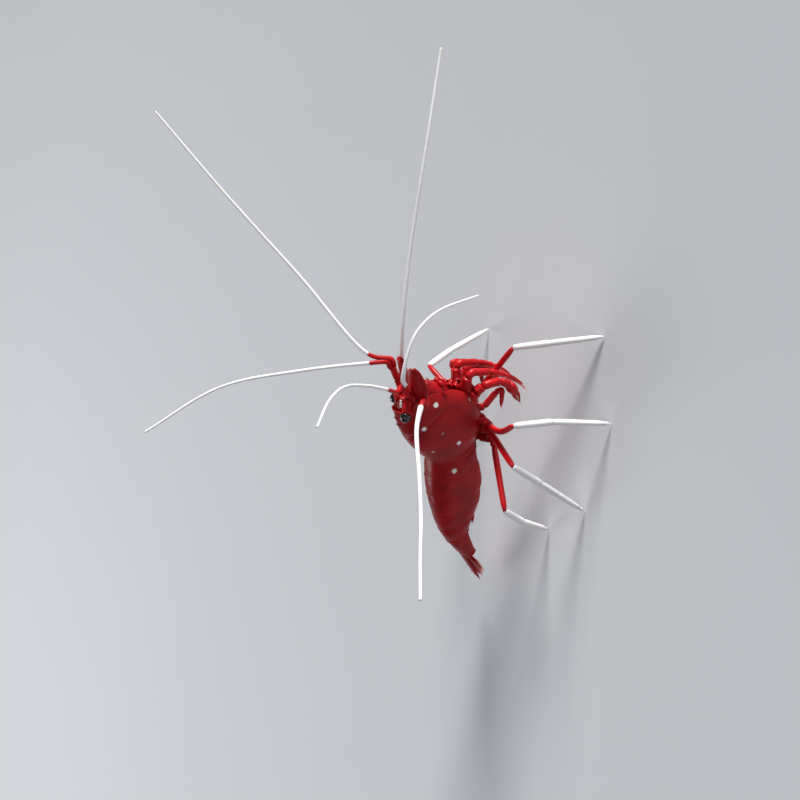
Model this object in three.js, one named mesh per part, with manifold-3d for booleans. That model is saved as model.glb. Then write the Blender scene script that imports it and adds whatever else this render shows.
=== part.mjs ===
// A blood-red cleaner shrimp at life size, standing on the tips of its six walking legs.
// Millimetres, +Z up. The head points towards -Y and +X is the animal's left side.
import * as THREE from 'three';
import { mergeVertices } from 'three/addons/utils/BufferGeometryUtils.js';
import Module from 'manifold-3d';

// ---- Driving dimensions ----
// The head end is measured in body terms: ahead of the shell's rear edge, above the line of
// the back, and out to the animal's right. The body is pitched so that the head is up.
const BODY_PITCH = 38;
const SHELL_REAR_TOP = new THREE.Vector3(0, 5.5, 19.6);
const GAP = 0.2;

const SHELL_LENGTH = 13;
const SHELL_HALF_WIDTH = 3.95;
const SHELL_FRONT_HALF_WIDTH = 2.4;
const SHELL_REAR_HALF_WIDTH = 3.2;
const SHELL_REAR_RISE = -0.2;
const SHELL_BACK_RISE = 0.8;
const SHELL_ARCH = 1.5;
const SHELL_BROW = 0.6;
const SHELL_WIDEST = 0.4;
const SHELL_FULLNESS = 0.75;
const SHELL_SQUARENESS = 0.85;
const SHELL_SIDES = 32;
const SHELL_RINGS = 14;

const ROSTRUM_START = 12;
const ROSTRUM_TIP = [15, 0];
const ROSTRUM_THICKNESS = 0.6;
const ROSTRUM_CREST = 0.1;
const ROSTRUM_CREST_START = 8.6;
const ROSTRUM_TEETH = [9.4, 10.8, 12, 13, 13.8];
const ROSTRUM_TOOTH_LENGTH = 0.7;
const ROSTRUM_TOOTH_HEIGHT = 0.3;
const ROSTRUM_UNDERSIDE = [[14.5, -0.45], [14.2, -0.75], [13.8, -0.65], [12.6, -1.2], [8, -1]];

// Each abdomen joint: tilt of its plane, depth and half width of the body there.
const SOMITE_LENGTHS = [2.8, 3.6, 4.4, 3.2, 3, 5];
const SOMITE_SLOPES = [10, 20, 28, 33, 42, 52];
const JOINT_TILTS = [38, 29, 28, 31, 38, 47, 50];
const JOINT_DEPTHS = [8.8, 9.4, 9.6, 8.7, 7, 4.7, 2.8];
const JOINT_HALF_WIDTHS = [3.25, 3.45, 3.4, 3.1, 2.65, 2.1, 1.55];
const UNDERSIDE_HOLLOWS = [1.2, 1.9, 1.9, 1.7, 1.3, 0.4, 0];
const UNDERSIDE_SHARPNESS = 7;
const PLEURON_LOBES = [0.6, 0.8, 0.7, 0.5, 0.3, 0];
const SOMITE_FULLNESS = 0.8;
const SOMITE_BACK_SWELL = 0.15;
const SOMITE_SIDE_SWELL = 0.12;
const SOMITE_SIDES = 24;
const SOMITE_RINGS = 5;
const ABDOMEN_START = [5.5, 19.5];

const TAIL_SLOPE = 44;
const TELSON_DROP = 0.25;
const TELSON_LENGTH = 6.9;
const TELSON_WIDTHS = [0.9, 0.75, 0.55, 0.3];
const TELSON_HEIGHTS = [0.42, 0.4, 0.34, 0.26];
const TAIL_BLADE_START = 0.3;
const TAIL_BLADE_THICKNESS = 0.52;
const TAIL_BLADE_HALF_WIDTH = 0.62;

const SWIMMERET_WIDTH = 1.5;
const SWIMMERET_THICKNESS = 0.5;
const SWIMMERET_SPREAD = 0.95;
const SWIMMERET_DROP = 0.45;
const SWIMMERET_SPAN = [0.12, 0.92];

const EYE_RADIUS = 0.9;
const EYE_PLACES = { right: [12.45, 0.95, 2.7], left: [13, -0.2, -2.2] };
const EYESTALK_ROOT = [13.6, -1, 1.15];
const EYESTALK_RADIUS = 0.72;

const COXA_DEPTH = -10.55;
const COXA_OUT = 2.05;
const FOOT_RADIUS = 0.3;

// Walking legs: root along the body, hip in body terms, then in space the knee, a slight bend
// below it, and the tip on the floor. One thigh is bowed.
const WALKING_LEGS = {
  walking_leg_1_right: {
    root: 2.8,
    hip: [1.9, -11, 3.2],
    bow: [0, 1.2, -0.2],
    knee: [-14, -7.5, 15.4],
    bend: [-15.7, -9, 9.2],
    tip: [-18.8, -10.1],
  },
  walking_leg_2_right: {
    root: 0.6,
    hip: [0.7, -10.8, 2.9],
    knee: [-14.8, -0.7, 13.9],
    bend: [-16, 1.9, 8.4],
    tip: [-18.5, 5.9],
  },
  walking_leg_3_right: {
    root: -1.6,
    hip: [-1.9, -10.7, 2.9],
    knee: [-13, 8.3, 11.7],
    bend: [-12.4, 10.8, 6.9],
    tip: [-11, 13.2],
  },
  walking_leg_1_left: {
    root: 2.8,
    hip: [3.6, -12.1, -2.3],
    knee: [-1.5, -15.6, 9.8],
    bend: [-5.6, -18.3, 5.6],
    tip: [-11.3, -22],
  },
  walking_leg_2_left: {
    root: 0.6,
    hip: [0.8, -10.8, -2.9],
    knee: [14.2, -5.3, 14.1],
    bend: [16.6, -7.3, 8.6],
    tip: [19.3, -10.2],
  },
  walking_leg_3_left: {
    root: -1.6,
    hip: [-1.9, -10.7, -2.9],
    knee: [12.6, 6.8, 12.3],
    bend: [14.2, 8.7, 6.8],
    tip: [15, 11],
  },
};
const STRAIGHT = [0, 0, 0];
const THIGH_POINTS = [0.3, 0.6];
const UPPER_LEG_RADII = [0.52, 0.56, 0.5, 0.5, 0.44];
const LOWER_LEG_RADII = [0.48, 0.56, 0.52, 0.47, 0.38, FOOT_RADIUS];
const KNEE_OVERRUN = 0.2;
const KNEE_CLEARANCE = 0.66;
const CLAW_LENGTH = 1.2;

// Folded limbs under the mouth, as points ahead, above and out, with a radius at each.
const MAXILLIPED = [
  [9.3, -11, 1.6, 0.55], [11.5, -11.4, 1.9, 0.55], [11.5, -12.5, 1.9, 0.5], [10.7, -13.7, 1.9, 0.5],
  [9.6, -15.3, 1.9, 0.48], [7.3, -17.4, 1.9, 0.42], [5.2, -18.7, 1.9, 0.36], [3.5, -19.5, 1.9, 0.26],
];
const CLAW_LEG = [
  [7, -10.6, 1.75, 0.6], [8.5, -11.5, 2.9, 0.6], [8.9, -12.8, 3.2, 0.55], [8.6, -14.2, 3.3, 0.6],
  [7.8, -15.9, 3.3, 0.62], [6.3, -16.9, 3.3, 0.8], [4.3, -17.4, 3.3, 0.72], [1.8, -17.5, 3.3, 0.26],
];
const SLENDER_LEGS = {
  right: [
    [5, -10.6, 1.75, 0.5], [4.4, -11.9, 2.1, 0.46], [5.5, -14.8, 2.1, 0.42], [5.2, -15.8, 2.1, 0.4],
    [3.8, -15.3, 2.1, 0.36], [2.3, -14.5, 2.1, 0.26],
  ],
  left: [
    [5, -10.6, 1.75, 0.5], [8, -12, 4.1, 0.44], [11, -11.6, 4.5, 0.42], [10.7, -12.6, 4.6, 0.4],
    [8.4, -14.2, 4.6, 0.38], [5, -15.6, 4.3, 0.34], [3, -15.2, 4.1, 0.26],
  ],
};

// Stalks and scales of the feelers, in body terms on the right side.
const ANTENNULE_ROOTS = [[14.3, -1.5, 1.1], [15.2, -1.5, 1.25]];
const ANTENNULE_TIPS = { right: [17.1, -1, 2.2], left: [19.2, -1.8, -1.5] };
const ANTENNULE_RADII = [0.56, 0.64, 0.58];
const ANTENNA_BASE = [12.3, -2.8, 3.5];
const ANTENNA_ROOT = [13.1, -2.6, 3.6];
const ANTENNA_BASE_RADIUS = 0.62;
const SCALE_ROOT = [13.9, -3.1, 2.5];
const SCALE_TIP = [19.2, -3.7, 2];
const SCALE_LEAN = -45;
const SCALE_HALF_WIDTH = 1.4;
const SCALE_THICKNESS = 0.55;
const SCALE_OUTLINE = [0.6, 0.85, 1, 1, 0.9, 0.6];

// The feelers beyond their stalks: how far up or down they leave the stalk, how far they run
// ahead at first, their root's radius and their route in space.
const FEELER_TIP_RADIUS = 0.25;
const FEELER_STEPS = 20;
const STALK_CLEARANCE = 0.3;
const FEELERS = {
  antennule_outer_left: {
    stalk: ANTENNULE_TIPS.left,
    rise: -0.4,
    lead: 0.9,
    radius: 0.32,
    route: [[3, -12.1, 33.9], [13.6, -20.9, 43.2], [24.7, -30.1, 53.2], [35.5, -39.4, 62.6]],
  },
  antennule_inner_left: {
    stalk: ANTENNULE_TIPS.left,
    rise: 0.4,
    lead: 0.9,
    radius: 0.32,
    route: [[2.3, -10.9, 33.8], [7.1, -7.3, 43.1], [12.1, -2.1, 53.9], [14.8, 7, 64]],
  },
  antennule_inner_right: {
    stalk: ANTENNULE_TIPS.right,
    rise: 0.4,
    lead: 0.3,
    radius: 0.32,
    route: [
      [-3.4, -8.5, 31.2], [-4.6, -9.5, 34.2], [-5.8, -10.6, 38.4],
      [-9, -11.9, 44.6], [-13.4, -11.8, 49.5], [-19.7, -10.4, 54.6],
    ],
  },
  antennule_outer_right: {
    stalk: ANTENNULE_TIPS.right,
    rise: -0.4,
    lead: 0.9,
    radius: 0.32,
    route: [
      [-2.2, -11.4, 30.1], [-1.8, -14.5, 29.9], [-1.2, -17.4, 29],
      [-0.4, -19.3, 27.2], [0.8, -20.9, 24.1], [3, -22.7, 16],
    ],
  },
  antenna_left: {
    stalk: [ANTENNA_ROOT[0], ANTENNA_ROOT[1], -ANTENNA_ROOT[2]],
    rise: 0,
    lead: 0.9,
    radius: 0.42,
    route: [
      [3.9, -10.5, 26.9], [4.6, -17.5, 28], [6.8, -27.8, 28.2], [10.7, -43.9, 27.3], [16.4, -59.1, 25.2],
    ],
  },
  antenna_right: {
    stalk: ANTENNA_ROOT,
    rise: 0,
    lead: 0.4,
    radius: 0.42,
    route: [
      [-8.3, -4.8, 29.4], [-18.4, -1.5, 33.9], [-27.3, 1.3, 38], [-34.9, 3.7, 41.9], [-41.7, 6.3, 45.1],
    ],
  },
};

// ---- Colours ----
const SHELL_RED = new THREE.Color(0.62, 0.012, 0.016);
const LIMB_RED = new THREE.Color(0.66, 0.02, 0.022);
const BONE_WHITE = new THREE.Color(0.86, 0.86, 0.88);
const EYE_BLACK = new THREE.Color(0.015, 0.012, 0.014);

// ---- Body frame ----
const pitch = THREE.MathUtils.degToRad(BODY_PITCH);
const AHEAD = new THREE.Vector3(0, -Math.cos(pitch), Math.sin(pitch));
const ABOVE = new THREE.Vector3(0, Math.sin(pitch), Math.cos(pitch));
const RIGHTWARD = new THREE.Vector3(-1, 0, 0);
const UPWARD = new THREE.Vector3(0, 0, 1);

function onBody(ahead, above, out) {
  return SHELL_REAR_TOP.clone()
    .addScaledVector(AHEAD, ahead)
    .addScaledVector(ABOVE, above)
    .addScaledVector(RIGHTWARD, out);
}

function vector(list) {
  return new THREE.Vector3(list[0], list[1], list[2] ?? 0);
}

// A power that keeps the sign.
function raised(value, power) {
  return Math.sign(value) * Math.abs(value) ** power;
}

// The line that falls by an angle towards the tail, and the line down from it.
function sloping(degrees) {
  const angle = THREE.MathUtils.degToRad(degrees);
  return {
    along: new THREE.Vector3(0, Math.cos(angle), -Math.sin(angle)),
    down: new THREE.Vector3(0, -Math.sin(angle), -Math.cos(angle)),
  };
}

// A value between evenly spaced levels, in straight steps.
function between(levels, t) {
  const place = THREE.MathUtils.clamp(t, 0, 1) * (levels.length - 1);
  const i = Math.min(Math.floor(place), levels.length - 2);
  return THREE.MathUtils.lerp(levels[i], levels[i + 1], place - i);
}

// ---- Shape makers ----
// A closed barrel whose every point is placed by a rule of: how far along it is, its angle
// round the barrel with 0 on top, and its reach from the middle line, 0 or 1.
function barrel(sides, rings, place) {
  const geometry = new THREE.CylinderGeometry(1, 1, 1, sides, rings);
  const position = geometry.attributes.position;
  const point = new THREE.Vector3();
  for (let i = 0; i < position.count; i += 1) {
    point.fromBufferAttribute(position, i);
    const reach = Math.min(1, Math.hypot(point.x, point.z));
    const moved = place(0.5 - point.y, Math.atan2(point.x, point.z), reach);
    position.setXYZ(i, moved.x, moved.y, moved.z);
  }
  return geometry;
}

// A tube through stations, each with a point, two radii and the line of the tube there.
function tube(stations, sides, up) {
  const frames = stations.map((station) => {
    const side = new THREE.Vector3().crossVectors(up, station.along).normalize();
    const top = new THREE.Vector3().crossVectors(station.along, side).normalize();
    return { side, top };
  });
  return barrel(sides, stations.length - 1, (t, angle, reach) => {
    const i = Math.round(t * (stations.length - 1));
    const { at, wide, high } = stations[i];
    return at.clone()
      .addScaledVector(frames[i].side, reach * wide * Math.sin(angle))
      .addScaledVector(frames[i].top, reach * high * Math.cos(angle));
  });
}

function directions(points) {
  return points.map((point, i) => {
    const before = points[Math.max(0, i - 1)];
    const after = points[Math.min(points.length - 1, i + 1)];
    return after.clone().sub(before).normalize();
  });
}

function limb(points, radii, sides, up) {
  const lines = directions(points);
  const stations = points.map((at, i) => ({ at, wide: radii[i], high: radii[i], along: lines[i] }));
  return tube(stations, sides, up);
}

const NEVER_ALONG_A_FEELER = new THREE.Vector3(0.83, 0.55, 0.03);

function feeler(points, rootRadius, steps) {
  const curve = new THREE.CatmullRomCurve3(points);
  const line = curve.getSpacedPoints(steps);
  const radii = line.map((_, i) => THREE.MathUtils.lerp(rootRadius, FEELER_TIP_RADIUS, i / steps));
  return limb(line, radii, 6, NEVER_ALONG_A_FEELER);
}

// A leaf-shaped blade that starts at a root and lies along a line.
function blade(root, along, across, length, halfWidth, thickness, widths) {
  const stations = widths.map((share, i) => ({
    at: root.clone().addScaledVector(along, (length * i) / (widths.length - 1)),
    wide: halfWidth * share,
    high: thickness / 2,
    along,
  }));
  return tube(stations, 12, new THREE.Vector3().crossVectors(along, across));
}

// ---- Joining solids ----
const wasm = await Module();
wasm.setup();

function toSolid(geometry) {
  const bare = geometry.clone();
  bare.deleteAttribute('normal');
  bare.deleteAttribute('uv');
  const merged = mergeVertices(bare, 1e-4);
  const mesh = new wasm.Mesh({
    numProp: 3,
    vertProperties: new Float32Array(merged.attributes.position.array),
    triVerts: new Uint32Array(merged.index.array),
  });
  return new wasm.Manifold(mesh);
}

function toGeometry(solid) {
  const mesh = solid.getMesh();
  const geometry = new THREE.BufferGeometry();
  geometry.setAttribute('position', new THREE.BufferAttribute(mesh.vertProperties, 3));
  geometry.setIndex(new THREE.BufferAttribute(mesh.triVerts, 1));
  geometry.computeVertexNormals();
  return geometry;
}

// ---- The model ----
const model = new THREE.Group();

function add(name, geometry, color, roughness = 0.35) {
  const material = new THREE.MeshStandardMaterial({ color, roughness, metalness: 0 });
  const mesh = new THREE.Mesh(geometry, material);
  mesh.name = name;
  model.add(mesh);
}

const SIDES = [['right', 1], ['left', -1]];

// The head-and-thorax shell. Its side edges follow the real shell's outline: a lobe behind,
// the hollow for the eye in front and a lower edge that sweeps up to the mouth.
const SHELL_LOWER_EDGE = [-8.3, -9.3, -9.7, -9.8, -9.9, -9.9, -9.6, -8.7, -7.3, -6];
const SHELL_REAR_EDGE = [0.9, -0.6, -1.1, -1, -0.6, -0.1, 0];
const SHELL_FRONT_EDGE = [10.7, 11.8, 12.4, 12.5, 12.7, 11.6, 13];

function shellHalfWidth(ahead) {
  const past = ahead / SHELL_LENGTH - SHELL_WIDEST;
  const end = past < 0 ? SHELL_REAR_HALF_WIDTH : SHELL_FRONT_HALF_WIDTH;
  const run = past < 0 ? -past / SHELL_WIDEST : past / (1 - SHELL_WIDEST);
  return THREE.MathUtils.lerp(SHELL_HALF_WIDTH, end, Math.min(1, run) ** 2);
}

function shellTop(ahead) {
  const share = THREE.MathUtils.clamp(ahead / SHELL_LENGTH, 0, 1);
  const line = THREE.MathUtils.lerp(SHELL_REAR_RISE, SHELL_BACK_RISE, share);
  return line + SHELL_ARCH * Math.sin(Math.PI * share) + SHELL_BROW * share ** 5;
}

function shellPoint(t, angle, reach) {
  const height = (1 + raised(Math.cos(angle) * reach, SHELL_SQUARENESS)) / 2;
  const rear = between(SHELL_REAR_EDGE, height);
  const ahead = THREE.MathUtils.lerp(rear, between(SHELL_FRONT_EDGE, height), t);
  const bottom = between(SHELL_LOWER_EDGE, ahead / SHELL_LENGTH);
  const above = THREE.MathUtils.lerp(bottom, shellTop(ahead), height);
  const side = raised(Math.sin(angle), SHELL_FULLNESS) * reach;
  return onBody(ahead, above, -shellHalfWidth(ahead) * side);
}

// The saw-toothed beak between the eyes runs back as a crest on the shell.
function rostrumTop(ahead) {
  if (ahead < ROSTRUM_START) {
    return shellTop(ahead) + ROSTRUM_CREST;
  }
  const share = (ahead - ROSTRUM_START) / (ROSTRUM_TIP[0] - ROSTRUM_START);
  return THREE.MathUtils.lerp(shellTop(ROSTRUM_START) + ROSTRUM_CREST, ROSTRUM_TIP[1], share);
}

function rostrum() {
  const outline = new THREE.Shape();
  outline.moveTo(ROSTRUM_CREST_START, shellTop(ROSTRUM_CREST_START));
  for (const start of ROSTRUM_TEETH) {
    const point = start + ROSTRUM_TOOTH_LENGTH;
    outline.lineTo(start, rostrumTop(start));
    outline.lineTo(point, rostrumTop(point) + ROSTRUM_TOOTH_HEIGHT);
  }
  outline.lineTo(...ROSTRUM_TIP);
  for (const place of ROSTRUM_UNDERSIDE) {
    outline.lineTo(...place);
  }
  outline.closePath();
  const geometry = new THREE.ExtrudeGeometry(outline, { depth: ROSTRUM_THICKNESS, bevelEnabled: false });
  const position = geometry.attributes.position;
  for (let i = 0; i < position.count; i += 1) {
    const moved = onBody(position.getX(i), position.getY(i), position.getZ(i) - ROSTRUM_THICKNESS / 2);
    position.setXYZ(i, moved.x, moved.y, moved.z);
  }
  return geometry;
}

const shell = barrel(SHELL_SIDES, SHELL_RINGS, shellPoint);
add('carapace', toGeometry(toSolid(shell).add(toSolid(rostrum()))), SHELL_RED, 0.3);

// The underside of the thorax, which carries the legs, and the jaws ahead of it.
function bodyTube(rows, sides) {
  const points = rows.map(([ahead, above]) => onBody(ahead, above, 0));
  const lines = directions(points);
  const stations = rows.map(([, , wide, high], i) => ({ at: points[i], wide, high, along: lines[i] }));
  return tube(stations, sides, ABOVE);
}

const STERNUM_ROWS = [[-2.6, -10.2, 0.7, 0.25], [-1.6, -10.35, 1.3, 0.45], [2.8, -10.6, 1.35, 0.65],
  [5, -10.95, 1.35, 1], [7, -11.15, 1.3, 1.2], [8.9, -11, 1.1, 1]];
const MOUTH_ROWS = [[10.4, -9.2, 0.8, 0.35], [11.3, -8.2, 1.2, 0.4], [12, -6.95, 1.2, 0.4],
  [12.7, -5.8, 0.8, 0.3]];
const HEAD_ROWS = [[13.25, -3.7, 1.5, 1.6], [13.6, -3.7, 1.3, 1.4], [13.9, -3.7, 0.8, 0.9]];
add('thorax_underside', bodyTube(STERNUM_ROWS, 12), SHELL_RED);
add('mouthparts', bodyTube(MOUTH_ROWS, 14), SHELL_RED);
add('head_front', bodyTube(HEAD_ROWS, 14), SHELL_RED);

// Eyes on short stalks.
for (const [side, out] of SIDES) {
  const eye = onBody(...EYE_PLACES[side]);
  const root = onBody(EYESTALK_ROOT[0], EYESTALK_ROOT[1], EYESTALK_ROOT[2] * out);
  const line = eye.clone().sub(root).normalize();
  const neck = eye.clone().addScaledVector(line, -EYE_RADIUS - GAP / 2);
  const ball = new THREE.SphereGeometry(EYE_RADIUS, 14, 9);
  ball.translate(eye.x, eye.y, eye.z);
  const stalkPoints = [0, 0.5, 1].map((t) => root.clone().lerp(neck, t));
  add(`eyestalk_${side}`, limb(stalkPoints, [0.5, EYESTALK_RADIUS, EYESTALK_RADIUS], 12, ABOVE), LIMB_RED);
  add(`eye_${side}`, ball, EYE_BLACK, 0.15);
}

// Feeler stalks and the scales beside them.
function onSide([ahead, above, side], out) {
  return onBody(ahead, above, side * out);
}

for (const [side, out] of SIDES) {
  const stalk = [...ANTENNULE_ROOTS.map((place) => onSide(place, out)), onBody(...ANTENNULE_TIPS[side])];
  add(`antennule_stalk_${side}`, limb(stalk, ANTENNULE_RADII, 12, ABOVE), LIMB_RED);
  const base = [onSide(ANTENNA_BASE, out), onSide(ANTENNA_ROOT, out)];
  const baseRadii = [ANTENNA_BASE_RADIUS, ANTENNA_BASE_RADIUS];
  add(`antenna_stalk_${side}`, limb(base, baseRadii, 12, ABOVE), LIMB_RED);
  const root = onSide(SCALE_ROOT, out);
  const line = onSide(SCALE_TIP, out).sub(root);
  const lean = THREE.MathUtils.degToRad(SCALE_LEAN);
  const width = ABOVE.clone().multiplyScalar(Math.sin(lean));
  width.addScaledVector(RIGHTWARD, Math.cos(lean) * out);
  const scale = blade(root, line.clone().normalize(), width, line.length(), SCALE_HALF_WIDTH,
    SCALE_THICKNESS, SCALE_OUTLINE);
  add(`antenna_scale_${side}`, scale, LIMB_RED, 0.25);
}

// The long feelers: two on each antennule stalk and one on each antenna stalk.
for (const [name, { stalk, rise, lead, radius, route }] of Object.entries(FEELERS)) {
  const start = onBody(stalk[0] + STALK_CLEARANCE, stalk[1] + rise, stalk[2]);
  const ahead = start.clone().addScaledVector(AHEAD, lead);
  add(name, feeler([start, ahead, ...route.map(vector)], radius, FEELER_STEPS), BONE_WHITE);
}

// Folded limbs under the mouth.
function foldedLimb(name, rows, out, sides) {
  const points = rows.map(([ahead, above, side]) => onBody(ahead, above, side * out));
  const radii = rows.map((row) => row[3]);
  add(name, limb(points, radii, sides, RIGHTWARD), LIMB_RED);
}

for (const [side, out] of SIDES) {
  foldedLimb(`maxilliped_${side}`, MAXILLIPED, out, 8);
  foldedLimb(`claw_leg_${side}`, CLAW_LEG, out, 10);
  foldedLimb(`slender_leg_${side}`, SLENDER_LEGS[side], out, 8);
}

// Walking legs: a red upper part from the body to the knee and a white lower part to the tip.
for (const [name, leg] of Object.entries(WALKING_LEGS)) {
  const out = name.endsWith('right') ? 1 : -1;
  const coxa = onBody(leg.root, COXA_DEPTH, COXA_OUT * out);
  const hip = onBody(...leg.hip);
  const knee = vector(leg.knee);
  const bend = vector(leg.bend);
  const tip = vector(leg.tip);
  const bow = vector(leg.bow ?? STRAIGHT);
  const thigh = THIGH_POINTS.map((t) => {
    return hip.clone().lerp(knee, t).addScaledVector(bow, Math.sin(Math.PI * t));
  });
  const upperLine = knee.clone().sub(thigh[1]).normalize();
  const upper = [coxa, hip, ...thigh, knee.clone().addScaledVector(upperLine, KNEE_OVERRUN)];
  add(`${name}_upper`, limb(upper, UPPER_LEG_RADII, 10, UPWARD), LIMB_RED);
  const lowerLine = bend.clone().sub(knee).normalize();
  const footLine = tip.clone().sub(bend).normalize();
  const start = knee.clone().addScaledVector(lowerLine, KNEE_CLEARANCE);
  const ankle = tip.clone().addScaledVector(footLine, -CLAW_LENGTH);
  const lower = [start, knee.clone().lerp(bend, 0.3), bend, bend.clone().lerp(tip, 0.5), ankle, tip];
  const lines = directions(lower);
  lines[lines.length - 1] = UPWARD.clone().negate();
  const stations = lower.map((at, i) => {
    const radius = LOWER_LEG_RADII[i];
    return { at, wide: radius, high: radius, along: lines[i] };
  });
  add(`${name}_lower`, tube(stations, 10, AHEAD), BONE_WHITE);
}

// Abdomen: a chain of joint planes, with a shell segment between each pair.
const tops = [new THREE.Vector3(0, ...ABDOMEN_START)];
SOMITE_LENGTHS.forEach((length, i) => {
  tops.push(tops[i].clone().addScaledVector(sloping(SOMITE_SLOPES[i]).along, length));
});
const joints = tops.map((at, i) => ({
  at,
  ...sloping(JOINT_TILTS[i]),
  depth: JOINT_DEPTHS[i],
  halfWidth: JOINT_HALF_WIDTHS[i],
}));

function somite(i) {
  const front = joints[i];
  const rear = joints[i + 1];
  const frontTop = front.at.clone().addScaledVector(front.along, GAP / 2);
  const rearTop = rear.at.clone().addScaledVector(rear.along, -GAP / 2);
  return barrel(SOMITE_SIDES, SOMITE_RINGS, (t, angle, reach) => {
    const down = front.down.clone().lerp(rear.down, t).normalize();
    const swell = Math.sin(Math.PI * t);
    const depth = THREE.MathUtils.lerp(front.depth, rear.depth, t) + PLEURON_LOBES[i] * swell;
    const halfWidth = THREE.MathUtils.lerp(front.halfWidth, rear.halfWidth, t) + SOMITE_SIDE_SWELL * swell;
    const drop = (1 - Math.cos(angle) * reach) / 2;
    const top = frontTop.clone().lerp(rearTop, t).addScaledVector(down, -SOMITE_BACK_SWELL * swell);
    const hollow = THREE.MathUtils.lerp(UNDERSIDE_HOLLOWS[i], UNDERSIDE_HOLLOWS[i + 1], t);
    const inward = hollow * Math.max(0, -Math.cos(angle)) ** UNDERSIDE_SHARPNESS * reach;
    const placed = top.addScaledVector(down, depth * drop - inward);
    if (i === 0) {
      const edge = between(SHELL_REAR_EDGE, 1 - drop + inward / depth);
      placed.addScaledVector(AHEAD, (edge - 1.5 * GAP) * (1 - t));
    }
    placed.x = -halfWidth * raised(Math.sin(angle), SOMITE_FULLNESS) * reach;
    return placed;
  });
}

SOMITE_LENGTHS.forEach((_, i) => add(`abdomen_${i + 1}`, somite(i), SHELL_RED, 0.3));

// Tail fan: the telson in the middle and two blades on each side, folded like a roof.
const { along: TAIL_ALONG, down: TAIL_DOWN } = sloping(TAIL_SLOPE);
const tailStart = joints[6].at.clone().addScaledVector(joints[6].along, GAP);

function tailPoint(back, down, side) {
  const point = tailStart.clone().addScaledVector(TAIL_ALONG, back).addScaledVector(TAIL_DOWN, down);
  point.x = side;
  return point;
}

const telsonStations = TELSON_WIDTHS.map((wide, i) => ({
  at: tailPoint((TELSON_LENGTH * i) / (TELSON_WIDTHS.length - 1), TELSON_DROP, 0),
  wide,
  high: TELSON_HEIGHTS[i],
  along: TAIL_ALONG,
}));
add('telson', tube(telsonStations, 12, TAIL_DOWN.clone().negate()), SHELL_RED, 0.3);

// Each blade: its distance out and its drop at the root and at the tip, its roll and its length.
const TAIL_BLADES = {
  inner: { out: 1.5, drop: 0.75, tipOut: 0.7, tipDrop: 0.95, roll: 6, length: 4.6 },
  outer: { out: 1.75, drop: 1.35, tipOut: 0.75, tipDrop: 1.52, roll: 10, length: 3.9 },
};
const TAIL_BLADE_OUTLINE = [0.5, 0.8, 1, 1, 0.85, 0.45];
for (const [side, out] of SIDES) {
  for (const [place, leaf] of Object.entries(TAIL_BLADES)) {
    const roll = THREE.MathUtils.degToRad(leaf.roll);
    const width = TAIL_DOWN.clone().multiplyScalar(Math.sin(roll));
    width.addScaledVector(RIGHTWARD, Math.cos(roll) * out);
    const root = tailPoint(TAIL_BLADE_START, leaf.drop, -leaf.out * out);
    const line = tailPoint(TAIL_BLADE_START + leaf.length, leaf.tipDrop, -leaf.tipOut * out).sub(root);
    const shape = blade(root, line.clone().normalize(), width, line.length(), TAIL_BLADE_HALF_WIDTH,
      TAIL_BLADE_THICKNESS, TAIL_BLADE_OUTLINE);
    add(`tail_blade_${place}_${side}`, shape, SHELL_RED, 0.3);
  }
}

// Swimmerets: a pair of soft paddles under each of the first five segments. They lie folded
// back along the underside, from one segment's front nearly to the next.
const SWIMMERET_OUTLINE = [0.5, 0.9, 1, 0.8, 0.45];
const belly = joints.map(({ at, down, depth }, i) => {
  return at.clone().addScaledVector(down, depth - UNDERSIDE_HOLLOWS[i] + SWIMMERET_DROP);
});
for (let i = 0; i < 5; i += 1) {
  const line = belly[i + 1].clone().sub(belly[i]);
  for (const [side, out] of SIDES) {
    const root = belly[i].clone().addScaledVector(line, SWIMMERET_SPAN[0]);
    root.addScaledVector(joints[i].down, PLEURON_LOBES[i]);
    root.x = -SWIMMERET_SPREAD * out;
    const length = line.length() * (SWIMMERET_SPAN[1] - SWIMMERET_SPAN[0]);
    const paddle = blade(root, line.clone().normalize(), RIGHTWARD, length, SWIMMERET_WIDTH / 2,
      SWIMMERET_THICKNESS, SWIMMERET_OUTLINE);
    add(`swimmeret_${i + 1}_${side}`, paddle, SHELL_RED);
  }
}

// The origin is on the floor, under the middle of the whole outline.
const outline = new THREE.Box3().setFromObject(model);
const middle = outline.getCenter(new THREE.Vector3());
model.position.set(-middle.x, -middle.y, -outline.min.z);

export default model;
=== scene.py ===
# %% [markdown]
# # A scarlet cleaner shrimp
# The real animal is about as long as a finger joint or two: a hard red shell, a curled abdomen
# of six rings, ten legs of which the last six carry it, and six long white feelers.
# Everything is drawn in millimetres in the animal's own space, because its parts are fractions
# of a millimetre thick. One matrix then puts each finished shape in the shared frame, in metres.

# %% Load the frame and find the animal in it
import math
import random

import bmesh
import bpy
import numpy as np
from mathutils import Matrix, Vector


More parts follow.
